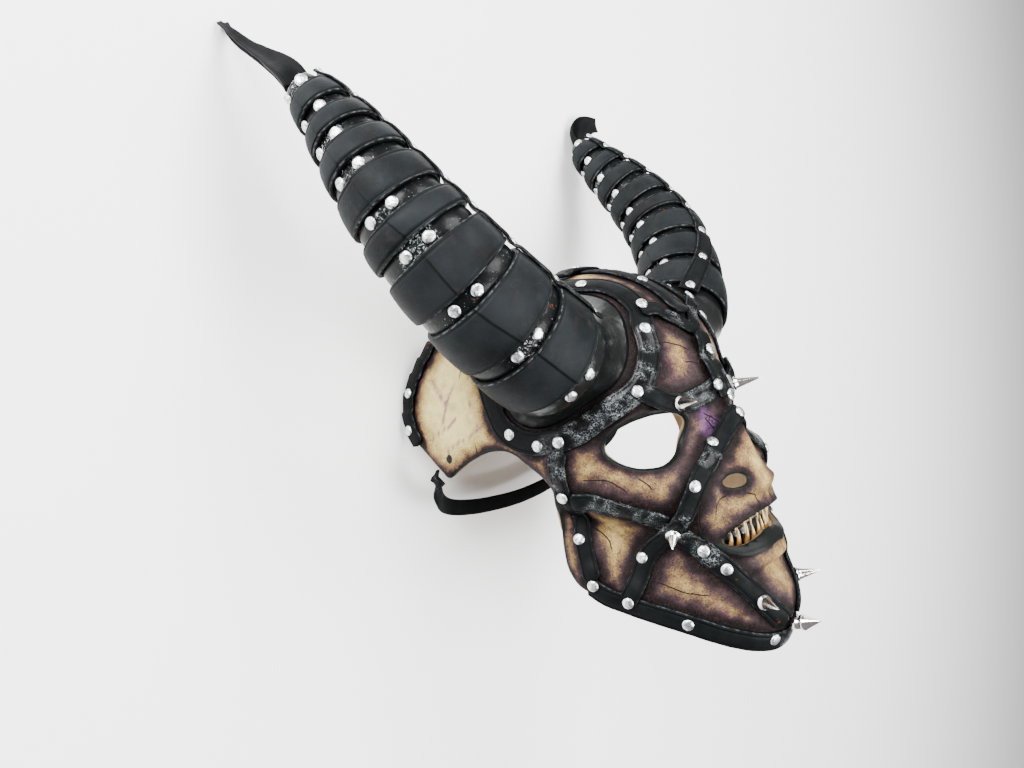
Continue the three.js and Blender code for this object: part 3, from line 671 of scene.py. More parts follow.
def sectionFields(rows):
    share, height = strapSection
    out = np.abs(share)
    top = height > 1
    # edge marks the groove near each side, which the finishes darken: black edge line and painted shade
    edge = soft((out - 0.6) * 9) * (1 - soft((out - 0.72) * 14)) * top
    # rim marks the outer top edges, where the finishes paint a highlight
    rim = soft((out - 0.86) / 0.1) * top
    return {name: np.tile(values, (rows, 1)) for name, values in (("edge", edge), ("rim", rim))}


scales = {"length": 13, "step": 1.3}     # the rear strap is made of short lapped pieces
for strap in laid:
    if strap["name"] == "rear_edge_strap":
        along = np.arange(len(strap["centre"])) * straps["step"]
        strap["lift"] = strap["lift"] + scales["step"] * (along % scales["length"]) / scales["length"]
    rings = strapRings(strap)
    bundle = Bundle()
    fields = sectionFields(len(rings))
    fields["glaze"] = nearness(rings, glazeSpots)
    bundle.add(rings, strap["closed"], fields)
    bundle.make(strap["name"], "black_leather", [strap["name"]])
print("straps laid:", len(laid))

# The mask itself, cut out of the skin with its holes, with the paint worked out from how near the straps are
mask = {
    "leather": 3.6,
    "alphas": [(-112, 0), (-96, 2.4), (-72, 1.5), (38, 0.75), (64, 1.2), (165, 2.0)],
    "betas": [(0, 0), (54, 0.8), (86, 1.15)],
    "border": [
        (112, -115), (90, -110), (60, -91), (34, -73.5), (14, -63), (5, -56), (2, -45), (4, -31), (7, -16),
        (10, -5), (13, 8), (8, 20), (0, 31.5), (-9, 37), (-24, 38), (-40, 34), (-52, 29), (-62, 24.5),
        (-69, 32), (-80, 44), (-93, 57), (-98, 66), (-100, 75), (-96, 92), (-82, 116), (-65, 132), (-56, 150),
        (60, 200), (200, 120), (200, -115),
    ],
    "eye": [
        (47.5, 28.5), (49.5, 23), (47, 15.5), (41, 8.5), (33, 6), (26, 8.5), (21, 13), (17, 18.5), (20, 23),
        (28, 26), (36, 28.5), (42, 29.5),
    ],
    "nostril": [(15.4, -5.5), (11.5, -4), (8, -4), (6.1, -5.6), (8.5, -7.8), (12.5, -8.4)],
    "mouth": [
        (0, -17), (6, -17.2), (11, -18.6), (15, -21.5), (17.8, -26), (13, -26.4), (7, -24.8), (0, -23.8),
        (-7, -24.8), (-13, -26.4), (-17.8, -26), (-15, -21.5), (-11, -18.6), (-6, -17.2),
    ],
    "degree": 1.85,     # millimetres to a degree at the face
    "bite": -20.4,      # where the lips meet on the middle line, and how far that line droops to the corner
    "biteDroop": 5,
    "mouthEnd": 17.8,
}
cracks = [
    [(73, 37, 10), (71, 44, 9), (68, 51, 7), (67, 55, 4), (66, 59, 0)],
    [(61, 67, 5), (60, 70, 2), (59, 72, -1)],
    [(20, 96, 3), (16, 98, 3), (13, 100, 2)],
    [(16, 92, 30), (12, 92, 27), (9, 94, 23)],
    [(15, 91, 27), (12, 91, 22), (11, 92, 18)],
    [(57, 22, -23), (56, 26, -27), (55, 29, -32), (56, 30, -37)],
    [(52, 49, -58), (51, 54, -60), (48, 61, -64), (46, 67, -68), (43, 73, -70), (41, 78, -72)],
    [(41, 89, -14), (41, 87, -21), (40, 85, -28), (39, 85, -35)],
    [(25, 96, -18), (30, 95, -19), (33, 94, -22), (33, 93, -27)],
    [(17, 110, -20), (9, 109, -24), (7, 109, -30)],
    [(31, 81, 77), (23, 85, 75), (14, 89, 69)],
    [(18, 91, 63), (11, 93, 60)],
    [(12, 12, 137), (14, 22, 135), (11, 30, 134), (13, 36, 132)],
    [(9, 46, 127), (11, 54, 122), (8, 62, 117), (10, 70, 109)],
    [(88, -31, 43), (88, -30, 36)],
    [(78, -40, 98), (79, -41, 90)],
]
veins = [
    [(66, -82, 113), (72, -77, 105), (77, -79, 96), (81, -82, 87), (83, -86, 78)],
    [(75, -71, 98), (80, -65, 87), (82, -61, 81), (83, -55, 75), (85, -56, 67), (87, -60, 60), (88, -70, 52)],
    [(79, -45, 87), (81, -49, 80), (84, -55, 71)],
    [(85, -45, 63), (87, -53, 59), (88, -64, 56)],
    [(82, -32, 73), (83, -31, 66), (85, -28, 59), (86, -29, 52), (87, -36, 49), (88, -46, 47), (89, -57, 42)],
    [(84, -20, 57), (85, -25, 54), (86, -30, 51)],
    [(43, 73, -62), (42, 76, -69), (40, 80, -73), (37, 83, -80), (35, 85, -86)],
    [(36, 86, -72), (37, 84, -78), (39, 80, -83)],
    [(26, 84, 74), (24, 87, 66), (19, 90, 60)],
    [(30, 84, 68), (26, 87, 61), (27, 89, 55)],
]
# paler paint on the side panels and the crown, and a pale spot between collar and ring strap; the spot on the
# nose is a painted highlight
paleSpots = [(86, -50, 62, 62), (14, 42, 130, 60), (6, 106, 8, 22), (64, 62, 40, 8)]
violetSpots = [(14, 90, 23, 8), (17, 89, 31, 5)]
crackleSpots = [(26, 84, 70, 34), (50, 62, -58, 40), (60, 60, -6, 26), (30, 92, -30, 26)]
blotSpots = [(90, -57, 38, 4)]
blackEdges = [("mouth", 0.8, 1.6), ("eye", 1.7, 2.0), ("nostril", 0.2, 1.3), ("border", 0.8, 1.5)]


def rounded(outline):      # corners cut twice, which keeps the outline's course
    points = np.array(outline, float)
    for _ in range(2):
        after = np.roll(points, -1, axis=0)
        points = np.stack([0.8 * points + 0.2 * after, 0.2 * points + 0.8 * after], axis=1).reshape(-1, 2)
    return points


def signedDistance(x, y, outline):      # above zero inside
    nearest = np.full(x.shape, 1e9)
    inside = np.zeros(x.shape, bool)
    for (x1, y1), (x2, y2) in zip(outline, np.roll(outline, -1, axis=0)):
        runX, runY = x2 - x1, y2 - y1
        t = np.clip(((x - x1) * runX + (y - y1) * runY) / (runX ** 2 + runY ** 2), 0, 1)
        nearest = np.minimum(nearest, np.hypot(x - x1 - t * runX, y - y1 - t * runY))
        if runY:
            inside ^= ((y1 > y) != (y2 > y)) & (x < runX * (y - y1) / runY + x1)
    return np.where(inside, nearest, -nearest)


holes = ("eye", "nostril", "mouth")
outlines = {name: rounded(mask[name]) for name in (*holes, "border")}
carvings = [        # beside which edge, how far from it, how wide, how high, and on which side of the bite
    ("mouth", 2.6, 2.3, 2.2, "under"), ("mouth", 1.6, 1.8, 1.1, "over"), ("mouth", 7.5, 2.2, -1.2, "under"),
    ("eye", 2.4, 1.6, 0.9, "both"), ("eye", 6.0, 2.0, -0.7, "both"), ("nostril", 2.0, 1.6, 0.8, "both"),
]


def edgeDistances(alpha, beta, points):      # millimetres of leather between a point and each edge
    side = np.abs(beta)
    far = {name: -mask["degree"] * signedDistance(side, alpha, outlines[name]) for name in holes}
    far["border"] = signedDistance(points[..., 1], points[..., 2], outlines["border"])
    return far


def underBite(alpha, beta):
    bite = mask["bite"] - mask["biteDroop"] * (beta / mask["mouthEnd"]) ** 2
    return soft((bite - alpha + 0.6) / 1.6)


def carving(alpha, beta, points, far):       # finer relief than the skull's own
    under = underBite(alpha, beta)
    nearMouth = soft((24 - np.abs(beta)) / 6)
    shares = {"under": under * nearMouth, "over": (1 - under) * nearMouth, "both": 1}
    h = sum(high * np.exp(-((far[edge] - middle) / wide) ** 2) * shares[where]
            for edge, middle, wide, high, where in carvings)
    for away in far.values():
        h -= 0.9 * np.exp(-np.maximum(away, 0) / 0.7)
    front = soft((points[..., 1] - 20) / 40)
    return h + 0.35 * wobble(points, 13) + (0.12 + 0.22 * front) * wobble(points, 5, 2)


def stepsBetween(stops):
    values = [stops[0][0]]
    for end, step in stops[1:]:
        count = max(1, round((end - values[-1]) / step))
        values += [values[-1] + (end - values[-1]) * k / count for k in range(1, count + 1)]
    return np.array(values)


def maskSheet():
    alphas = stepsBetween(mask["alphas"])
    half = stepsBetween(mask["betas"])
    betas = np.concatenate([-half[:0:-1], half])
    alpha, beta = np.meshgrid(alphas, betas, indexing="ij")
    points = skin(direction(alpha, beta) * 100)
    return alpha, beta, np.minimum.reduce(list(edgeDistances(alpha, beta, points).values()))


def cutSheet(alpha, beta, value):
    rows, columns = value.shape
    keep = value > 0
    number = np.full(value.shape, -1)
    number[keep] = np.arange(keep.sum())
    angles = [np.stack([alpha[keep], beta[keep]], axis=-1)]
    extra = []
    crossing = {}

    def cut(p, q):
        key = (min(p, q), max(p, q))
        if key not in crossing:
            a, b = key
            t = np.clip(value[a] / (value[a] - value[b]), 0.06, 0.94)
            crossing[key] = keep.sum() + len(extra)
            extra.append((alpha[a] + (alpha[b] - alpha[a]) * t, beta[a] + (beta[b] - beta[a]) * t))
        return crossing[key]

    cell = keep[:-1, :-1].astype(int) + keep[1:, :-1] + keep[:-1, 1:] + keep[1:, 1:]
    whole = cell == 4
    faces = np.stack([number[:-1, :-1][whole], number[:-1, 1:][whole], number[1:, 1:][whole],
                      number[1:, :-1][whole]], axis=-1).tolist()
    rims = []
    for i, j in np.argwhere((cell > 0) & ~whole):
        corners = [(i, j), (i, j + 1), (i + 1, j + 1), (i + 1, j)]
        loop = []
        for p, q in zip(corners, corners[1:] + corners[:1]):
            if keep[p]:
                loop.append((number[p], False))
            if keep[p] != keep[q]:
                loop.append((cut(p, q), True))
        if len(loop) < 3:
            continue
        faces.append([int(k) for k, _ in loop])
        for (a, aCut), (b, bCut) in zip(loop, loop[1:] + loop[:1]):
            if aCut and bCut:
                rims.append((int(a), int(b)))
    angles.append(np.array(extra))
    return np.concatenate(angles), faces, rims


def strapDistance(points):
    tree = KDTree(sum(len(strap["centre"]) for strap in laid))
    halves = []
    for strap in laid:
        for place in strap["centre"]:
            tree.insert(Vector(place), len(halves))
            halves.append(strap["width"] / 2)
    tree.balance()
    result = []
    for point in points:
        _, index, away = tree.find(Vector(point))
        result.append(away - halves[index])
    return np.array(result)


def lineFields(points, lines):      # signed distance across the nearest line, and how near it is
    signed = np.zeros(len(points))
    best = np.full(len(points), 99.0)
    for line in [*lines, *[mirrored(line) for line in lines]]:
        path = skin(walk(line, False, 1.5))
        path = path + 0.5 * np.cross(skinNormal(path), (0.2, 0.5, 0.8)) * wobble(path, 3.5)[:, None]
        middle = path.mean(axis=0)
        near = np.linalg.norm(points - middle, axis=-1) < 60
        spots = points[near]
        localSigned, localBest = signed[near], best[near]
        for a, b in zip(path, path[1:]):
            run = b - a
            t = np.clip(((spots - a) @ run) / (run @ run), 0, 1)
            offset = spots - a - t[:, None] * run
            away = np.linalg.norm(offset, axis=-1)
            out = unit(a + b)
            sign = np.sign(np.cross(out, run) @ offset.T)
            closer = away < localBest
            localBest[closer] = away[closer]
            localSigned[closer] = (away * sign)[closer]
        signed[near], best[near] = localSigned, localBest
    return signed, best


def makeMask():
    angles, faces, rims = cutSheet(*maskSheet())
    alpha, beta = angles.T

    def surface(points):
        d = unit(points)
        a = np.degrees(np.arctan2(d[..., 2], d[..., 1]))
        b = np.degrees(np.arcsin(np.clip(d[..., 0], -1, 1)))
        base = skin(points)
        return base + d * carving(a, b, base, edgeDistances(a, b, base))[..., None]

    outer = surface(direction(alpha, beta) * 100)
    inner = skin(outer) - skinNormal(outer) * mask["leather"]
    far = edgeDistances(alpha, beta, outer)
    under = underBite(alpha, beta)
    reach = np.minimum.reduce([strapDistance(outer) * 0.9, far["eye"] * 0.85 + 0.5, far["nostril"] * 1.4,
                               far["mouth"] * 1.3 + 1, far["border"] * 0.9])
    reach = reach + 2.2 * wobble(outer, 15, 4) + 0.9 * wobble(outer, 5, 6)
    shade = np.exp(-np.maximum(reach, 0) / 6.5) + 0.27 * soft((outer[:, 1] - 20) / 30)
    black = np.maximum.reduce([
        (1 - soft((far["mouth"] - 4.2) / 2.0)) * under * soft((25 - np.abs(beta)) / 4),
        *[1 - soft((far[name] - start) / fade) for name, start, fade in blackEdges],
        nearness(outer, blotSpots),
    ])
    signed, best = lineFields(outer, cracks)
    _, veinAway = lineFields(outer, veins)
    count = len(outer)

    def both(values, inside=0.0):
        return np.concatenate([values, np.full(count, inside)])

    fields = {
        "shade": both(shade),
        "black": both(black),
        "pale": both(nearness(outer, paleSpots)),
        "violet": both(nearness(outer, violetSpots)),
        "crackle": both(0.35 + 0.65 * nearness(outer, crackleSpots)),
        "line": both(signed, 9.0),
        "lineNear": both(1 - soft((best - 1.6) / 0.8)),
        "vein": both(1 - soft(veinAway - 0.1)),
        "inside": both(np.zeros(count), 1.0),
    }
    allFaces = faces + [[k + count for k in reversed(face)] for face in faces]
    allFaces += [[b, a, a + count, b + count] for a, b in rims]
    points = np.concatenate([outer, inner])
    makePiece("mask_shell_skin", points, allFaces, "tan_leather", ["mask_shell"], fields)
    print("mask made:", count, "points a side")


makeMask()


# Rivets on the straps, and the spikes
def seat(place, reach=4.0):      # how far the top of the straps under a place stands off the skin
    spot = skin(np.asarray(place, float))
    top = 0.0
    for strap in laid:
        near = np.linalg.norm(strap["centre"] - spot, axis=-1) < strap["width"] / 2 + reach
        if near.any():
            top = max(top, strap["lift"][near].max() + straps["leather"])
    return top + 0.1


strapRivets = {
    "mirrored": [
        (33, 78, 88), (53, 76, 55), (80, 33, 37), (84, 18, 37), (85.6, -1, 47), (78, 24, 4), (67, 15, -28),
        (67, 19, -56), (18, 95, 12), (44, 90, -6), (52, 49, -46), (60, 37, -69), (40, 85, -47), (35, 94, -60),
        (47, 65, -87), (14, 98, -109), (8, 100, 46), (26, 74, 101), (31.5, 40, 125), (80, -16, 84),
        (52, -13, 125), (88, -91, 62), (83, -91, 88), (60, -72, 116), (30, -59, 134),
    ],
    "middle": [(0, 100, 24), (0, 98, 37), (1, 92, 64), (0, 62, 117), (3, 16, 137), (0, -30, 138)],
}
bundle = Bundle()
for place in strapRivets["mirrored"] + mirrored(strapRivets["mirrored"]) + strapRivets["middle"]:
    spot = np.array(place, float)
    addRivet(bundle, lifted(spot, seat(spot, 1.0)), skinNormal(skin(spot)))
bundle.make("strap_rivets", "rivet")

spikes = {
    "foot": [(-0.4, 3.9), (0.0, 4.4), (0.9, 4.4), (1.2, 3.6)],
    "footHigh": 1.2,
    "sides": 36,
    "placed": [
        ("brow_spike", (33, 92, 43), 17), ("cheek_spike", (47, 72, -28), 10.5),
        ("chin_spike", (21, 101, -83), 15),
    ],
    "chin": {
        "place": (0, 101, -102),
        "facing": (0, 1, 0.12),
        "length": 18,
        "foot": [(-0.4, 3.4), (0, 3.7), (4.6, 3.6), (4.9, 2.9), (5.5, 2.9), (5.9, 4.5), (7.5, 4.5)],
        "footHigh": 7.5,
    },
}


def cone(length, radius=3.5):
    foot = spikes["footHigh"]
    body = [(foot + (length - foot) * t, radius * (1 - t) ** 0.92 + 0.12) for t in np.linspace(0, 1, 9)]
    return spikes["foot"] + body[1:] + [(length + 0.05, 0.02)]


def makeSpike(name, place, profile, facing=None):
    spot = np.array(place, float)
    axis = skinNormal(skin(spot)) if facing is None else facing
    bundle = Bundle()
    bundle.add(turned(lifted(spot, seat(spot)), axis, profile, spikes["sides"]))
    bundle.make(f"{name}_cone", "spike", [name])


for name, place, length in spikes["placed"]:
    for side, turn in sides.items():
        makeSpike(f"{name}_{side}", turn([place])[0], cone(length))
chin = spikes["chin"]
taper = [(chin["footHigh"] + (chin["length"] - chin["footHigh"]) * t, 4.2 * (1 - t) + 0.12)
         for t in np.linspace(0.04, 1, 8)]
makeSpike("chin_centre_spike", chin["place"], chin["foot"] + taper, chin["facing"])
print("rivets and spikes set")

# Teeth. Angles are degrees up from straight ahead and degrees across; depths are from the skin.
teeth = {
    "gum": (2.6, 4.4),      # front and back of the gum, behind the teeth
    "gumEdge": 1.5,
    "curl": 3,
    "droop": 3.8,
    "bite": -21.3,
    "uneven": 0.9,
    "half": 1.8,
    "rows": {
        "upper_teeth": {"root": -14.5, "past": -0.9, "depth": 5.4, "places": [2, 5.4, 8.4, 11.2, 13.8, 16.2]},
        "lower_teeth": {"root": -28.0, "past": 0.7, "depth": 7.2, "places": [1.3, 4.1, 7, 9.9, 12.6, 15.2]},
    },
    "fangs": {5.4: 1.5, 8.4: 1.25, 7.0: 1.3, 11.2: 1.1},
}


def drooping(most, across):     # how far the row has sunk towards the corner of the mouth
    return most * (across / mask["mouthEnd"]) ** 2


def gumPlace(up, across, depth):
    radius = skullRadius(up, np.radians(across)) - depth - drooping(teeth["curl"], across)
    return direction(up, across) * np.asarray(radius)[..., None]


def tooth(row, across, past, lean):
    drop = drooping(teeth["droop"], across)
    bite = teeth["bite"] - drop + past + teeth["uneven"] * math.sin(7.3 * across)
    start = gumPlace(row["root"] - 0.6 * drop, across, row["depth"] + 1.2)
    end = gumPlace(bite, across + lean, row["depth"] - 0.6)
    out = direction(bite, across)
    wide = unit(np.cross(end - start, out))
    deep = unit(np.cross(wide, end - start))
    angle = np.arange(12) * 2 * math.pi / 12
    rings = []
    for t in np.linspace(0, 1, 9):
        half = teeth["half"] * (1 - t ** 1.4) ** 0.85 + 0.05
        centre = start + (end - start) * t + out * 0.9 * math.sin(math.pi * t)
        ring = np.outer(np.cos(angle) * half, wide) + np.outer(np.sin(angle) * half * 0.8, deep)
        rings.append(centre + ring)
    return np.array(rings)


for name, row in teeth["rows"].items():
    bundle = Bundle()
    sections = []
    front, back = [row["depth"] + deep for deep in teeth["gum"]]
    for across in np.linspace(1 - mask["mouthEnd"], mask["mouthEnd"] - 1, 25):
        drop = drooping(teeth["droop"], across)
        root = row["root"] - 0.6 * drop
        edge = teeth["bite"] - drop - math.copysign(teeth["gumEdge"], row["past"])
        corners = [(root, front), (edge, front), (edge, back), (root, back)]
        sections.append([gumPlace(up, across, depth) for up, depth in corners])
    bundle.add(np.array(sections), fields={"gum": 1.0, "along": 0.0})
    for k, across in enumerate([-place for place in reversed(row["places"])] + row["places"]):
        scale = teeth["fangs"].get(abs(across), 0.85 + 0.15 * math.sin(5 * k + len(name)))
        rings = tooth(row, across, row["past"] * scale, 0.7 * math.sin(3.1 * k))
        bundle.add(rings, fields={"gum": 0.0, "along": np.linspace(0.15, 1, len(rings))[:, None]})
    bundle.make(f"{name}_row", "tooth_resin", [name])
print("teeth set")

# The nape strap behind the head
nape = {
    "route": [(98.5, -61, 31), (96.5, -68, 16), (81, -79, 4), (45, -84, -5), (0, -85, -9)],
    "width": 11,
    "facing": (0, 0.35, 0.94),
}
path = walk(bothSides(nape["route"]), False, 2.0)
run = unit(np.gradient(path, axis=0))
across = unit(np.array(nape["facing"]) - run * dot(run, np.array(nape["facing"])))
out = np.cross(across, run)
share, height = strapSection
rings = path[:, None] + across[:, None] * (share * nape["width"] / 2)[None, :, None]
rings = rings + out[:, None] * (height + 0.2 * wobble(path, 9)[:, None])[..., None]
bundle = Bundle()
fields = sectionFields(len(rings))
fields["glaze"] = 0.0
bundle.add(rings, fields=fields)
bundle.make("nape_strap_band", "black_leather", ["nape_strap"])

# Horns: raised plates with a recessed riveted strip between each and the next
horn = {
    "joints": [25, 58, 91, 120, 141, 166, 188, 209, 231],
    "lap": 9,
    "strip": 8,
    "plateTop": 0.9,
    "plateSwell": 1.5,
    "plateFoot": [      # past the plate's foot, over its top, and 1 in a groove
        (0, -2.7, 0), (-0.25, -1.5, 0), (-0.1, -0.5, 0), (0.35, -0.05, 0), (1.0, 0, 0), (1.35, -0.3, 1),
        (1.7, 0.02, 0),
    ],
    "plateTip": [
        (-1.7, 0.02, 0), (-1.35, -0.3, 1), (-1.0, 0, 0), (-0.35, -0.05, 0), (0.1, -0.5, 0), (0.2, -1.5, 0),
        (0, -2.7, 0),
    ],
    "rimRows": [2, 3, -4, -3],
    "stripRise": 0.5,
    "lapTop": -2.2,
    "wall": 2.2,
    "tipRadius": 10.4,
    "belly": 15,
    "rootFacing": (0.74, 0.44, 0.5),
    "rootTurn": 0.75,
    "rootReach": 0.2,
    "columns": [0, 0.7, 1.6, 3.2, 6, 10] + list(range(15, 346, 5)) + [350, 354, 356.8, 358.4, 359.3],
    "seamStep": 0.9,
    "rivetSpread": 8.2,     # from the seam to the rivet beside it
    "rivetRise": 0.7,
    "strapWidths": (14, 9),
    "strapLeather": 0.65,   # share of the straps' own thickness
}
horns = {
    "right": {
        "way": 1,
        "rootRadius": 36.8,
        "axis": [(63, 40, 71), (174, 48.5, 147.5), (140.5, 9.5, 216.5), (165, -8.5, 261)],
        "strapAt": through([(0, 52), (60, 47), (232, 47)]),
        "seamAt": through([(0, -36), (21, -38), (54, -40), (87, -50), (116, -52), (137, -62), (162, -70),
                           (186, -76), (232, -66)]),
    },
    "left": {
        "way": -1,
        "rootRadius": 32,
        "axis": [(-65, 38, 78), (-168, 19, 161), (-123, -27, 220), (-140, -56, 263)],
        "strapAt": through([(0, 58), (32, 42), (60, 24), (91, 6), (120, -8), (141, -14), (162, -13),
                            (181, -6), (232, 12)]),
        "seamAt": through([(0, 92), (60, 98), (100, 108), (140, 112), (160, 110), (183, 112), (232, 108)]),
    },
}
for one in horns.values():
    a, b, c, d = np.array(one["axis"], float)
    t = np.linspace(0, 1, 1500)[:, None]
    one["curve"] = a * (1 - t) ** 3 + 3 * b * t * (1 - t) ** 2 + 3 * c * t ** 2 * (1 - t) + d * t ** 3
    one["tangent"] = unit((b - a) * (1 - t) ** 2 + 2 * (c - b) * t * (1 - t) + (d - c) * t ** 2)
    one["arc"] = np.concatenate([[0], np.cumsum(np.linalg.norm(np.diff(one["curve"], axis=0), axis=1))])
    one["length"] = one["arc"][-1]


def hornFrame(one, at):     # centre, axis, front and inward directions and radius, at a place along the horn
    at = np.asarray(at, float)
    inside = np.clip(at, 0, one["length"])
    t = np.interp(inside, one["arc"], np.linspace(0, 1, len(one["arc"])))

    def along(values):
        return np.stack([np.interp(inside, one["arc"], values[:, k]) for k in range(3)], axis=-1)

    tangent = unit(along(one["tangent"]))
    nearRoot = np.clip(1 - inside / one["length"] / horn["rootReach"], 0, 1)
    headward = horn["rootTurn"] * nearRoot[..., None] ** 2
    outward = unit(np.array(horn["rootFacing"]) * (one["way"], 1, 1))
    axis = unit(tangent * (1 - headward) + outward * headward)
    front = unit(np.array([0, 1, 0]) - axis * axis[..., 1:2])
    inward = np.cross(axis, front) * one["way"]
    radius = one["rootRadius"] * (1 - t) + horn["tipRadius"] * t + horn["belly"] * t * (1 - t)
    return along(one["curve"]) + tangent * (at - inside)[..., None], axis, front, inward, radius


def onHorn(one, at, angle, rise):       # by its place along, its angle round and its height off the horn
    centre, _, front, inward, radius = hornFrame(one, at)
    angle = np.radians(angle)
    reach = (radius + rise)[..., None]
    return centre + reach * (np.cos(angle)[..., None] * front + np.sin(angle)[..., None] * inward)


def hornRings(one, rows):       # rows of place, height, and how loosely the edge runs
    columns = np.array(horn["columns"], float)
    lift = horn["seamStep"] * (1 - soft(columns / 70))
    rings = []
    for at, rise, free in rows:
        angle = one["seamAt"](at) + columns * one["way"]
        turn = np.radians(angle)
        drift = np.stack([2 * np.cos(turn), 2 * np.sin(turn), np.full(len(turn), at)], axis=-1)
        rings.append(onHorn(one, at + 0.7 * wobble(drift, 1.3) * free, angle, rise + lift * free))
    return np.array(rings)


stripMiddles = [tip - horn["strip"] / 2 for tip in horn["joints"]]
seamDark = np.array([c < 1 or c > 359 for c in horn["columns"]], float)


def makeSleeve(side, one, k):
    foot, tip = horn["joints"][k], horn["joints"][k + 1]
    last = k == len(horn["joints"]) - 2
    plateEnd = tip - horn["strip"]
    top, swell = horn["plateTop"], horn["plateSwell"]
    length = plateEnd - foot
    profile = [(past, top + rise, groove) for past, rise, groove in horn["plateFoot"]]
    for t in np.linspace(0.12, 0.88, 9):
        profile.append((length * t, top + (swell - top) * math.sin(math.pi * t), 0))
    profile += [(length + past, top + rise, groove) for past, rise, groove in horn["plateTip"]]
    rings = hornRings(one, [(foot + past, rise, 1) for past, rise, _ in profile])
    edge = np.maximum(seamDark[None], np.array([groove for _, _, groove in profile])[:, None])
    # the raised rims, which the plate finish darkens with painted shade and lights with a painted highlight
    rim = np.zeros(edge.shape)
    rim[horn["rimRows"]] = 1
    bundle = Bundle()
    bundle.add(rings, True, {"edge": edge, "rim": rim, "glaze": 0.0})
    bundle.make(f"horn_{side}_plate_{k + 1}", "horn_plate", [f"horn_{side}_sleeve_{k + 1}"])

    end = tip if last else tip + horn["lap"]
    low = horn["lapTop"]
    rows = [(plateEnd - 4, low), (plateEnd, low)]
    for t in (0.12, 0.3, 0.5, 0.7, 0.88):
        rows.append((plateEnd + horn["strip"] * t, low + horn["stripRise"] * math.sin(math.pi * t)))
    rows += [(tip, low), (end, low - 0.4), (end, low - horn["wall"]), (plateEnd - 4, low - horn["wall"])]
    rings = hornRings(one, [(at, rise, 0) for at, rise in rows])
    seamAngle = (np.array(horn["columns"]) + 180) % 360 - 180
    arcAway = np.abs(np.radians(seamAngle)) * hornFrame(one, foot)[4]
    glaze = soft(1.3 - arcAway / 20) * (0.7 + 0.3 * math.sin(4 * k))
    bundle = Bundle()
    bundle.add(rings, True, {"edge": 0.0, "rim": 0.0, "glaze": glaze})
    bundle.make(f"horn_{side}_strip_{k + 1}", "horn_strip", [f"horn_{side}_sleeve_{k + 1}"])


def hornRivet(bundle, one, at, angle, rise):
    centre, axis, *_ = hornFrame(one, at)
    place = onHorn(one, at, angle, rise)
    outwards = place - centre
    addRivet(bundle, place, unit(outwards - axis * dot(outwards, axis)))


def makeLengthwiseStrap(side, one, bundle):
    at = np.arange(horn["joints"][0] - horn["strip"], one["length"] - 3, 1.5)
    first, last = horn["strapWidths"]
    width = first + (last - first) * at / one["length"]
    share, height = strapSection
    swing = np.degrees(width[:, None] / 2 * share / hornFrame(one, at)[4][:, None]) * one["way"]
    past = np.array(horn["joints"])[None] - at[:, None]
    onStrip = ((past > 0.5) & (past < horn["strip"] - 0.5)).any(axis=1)
    weights = np.exp(-((at[:, None] - at[None]) / 2.4) ** 2)
    low = (weights @ np.where(onStrip, 0.2, horn["plateSwell"] + 0.3)) / weights.sum(axis=1)
    angle = one["strapAt"](at)[:, None] + swing
    rise = low[:, None] + height * horn["strapLeather"]
    rings = onHorn(one, np.broadcast_to(at[:, None], swing.shape), angle, rise)
    fields = sectionFields(len(rings))
    fields["glaze"] = (0.25 + 0.3 * wobble(rings[:, 0], 30))[:, None]
    straplet = Bundle()
    straplet.add(rings, fields=fields)
    straplet.make(f"horn_{side}_strap_long", "black_leather", [f"horn_{side}_strap"])
    for place in stripMiddles:
        rise = np.interp(place, at, low) + straps["leather"] * horn["strapLeather"]
        hornRivet(bundle, one, place, one["strapAt"](place), rise)


def onHead(points, axis, height):       # slid along the horn's axis until it stands that far off the head
    low = np.full(len(points), -70.0)
    high = np.full(len(points), 40.0)
    for _ in range(30):
        slide = (low + high) / 2
        p = points + axis * slide[:, None]
        off = np.linalg.norm(p, axis=-1) > np.linalg.norm(skin(p), axis=-1) + height
        high = np.where(off, slide, high)
        low = np.where(off, low, slide)
    return points + axis * high[:, None]


collar = {"inset": 8.0, "wall": 3.5, "rise": 0.8, "sides": 96, "bend": 3.96, "step": 1.5, "lap": 8}


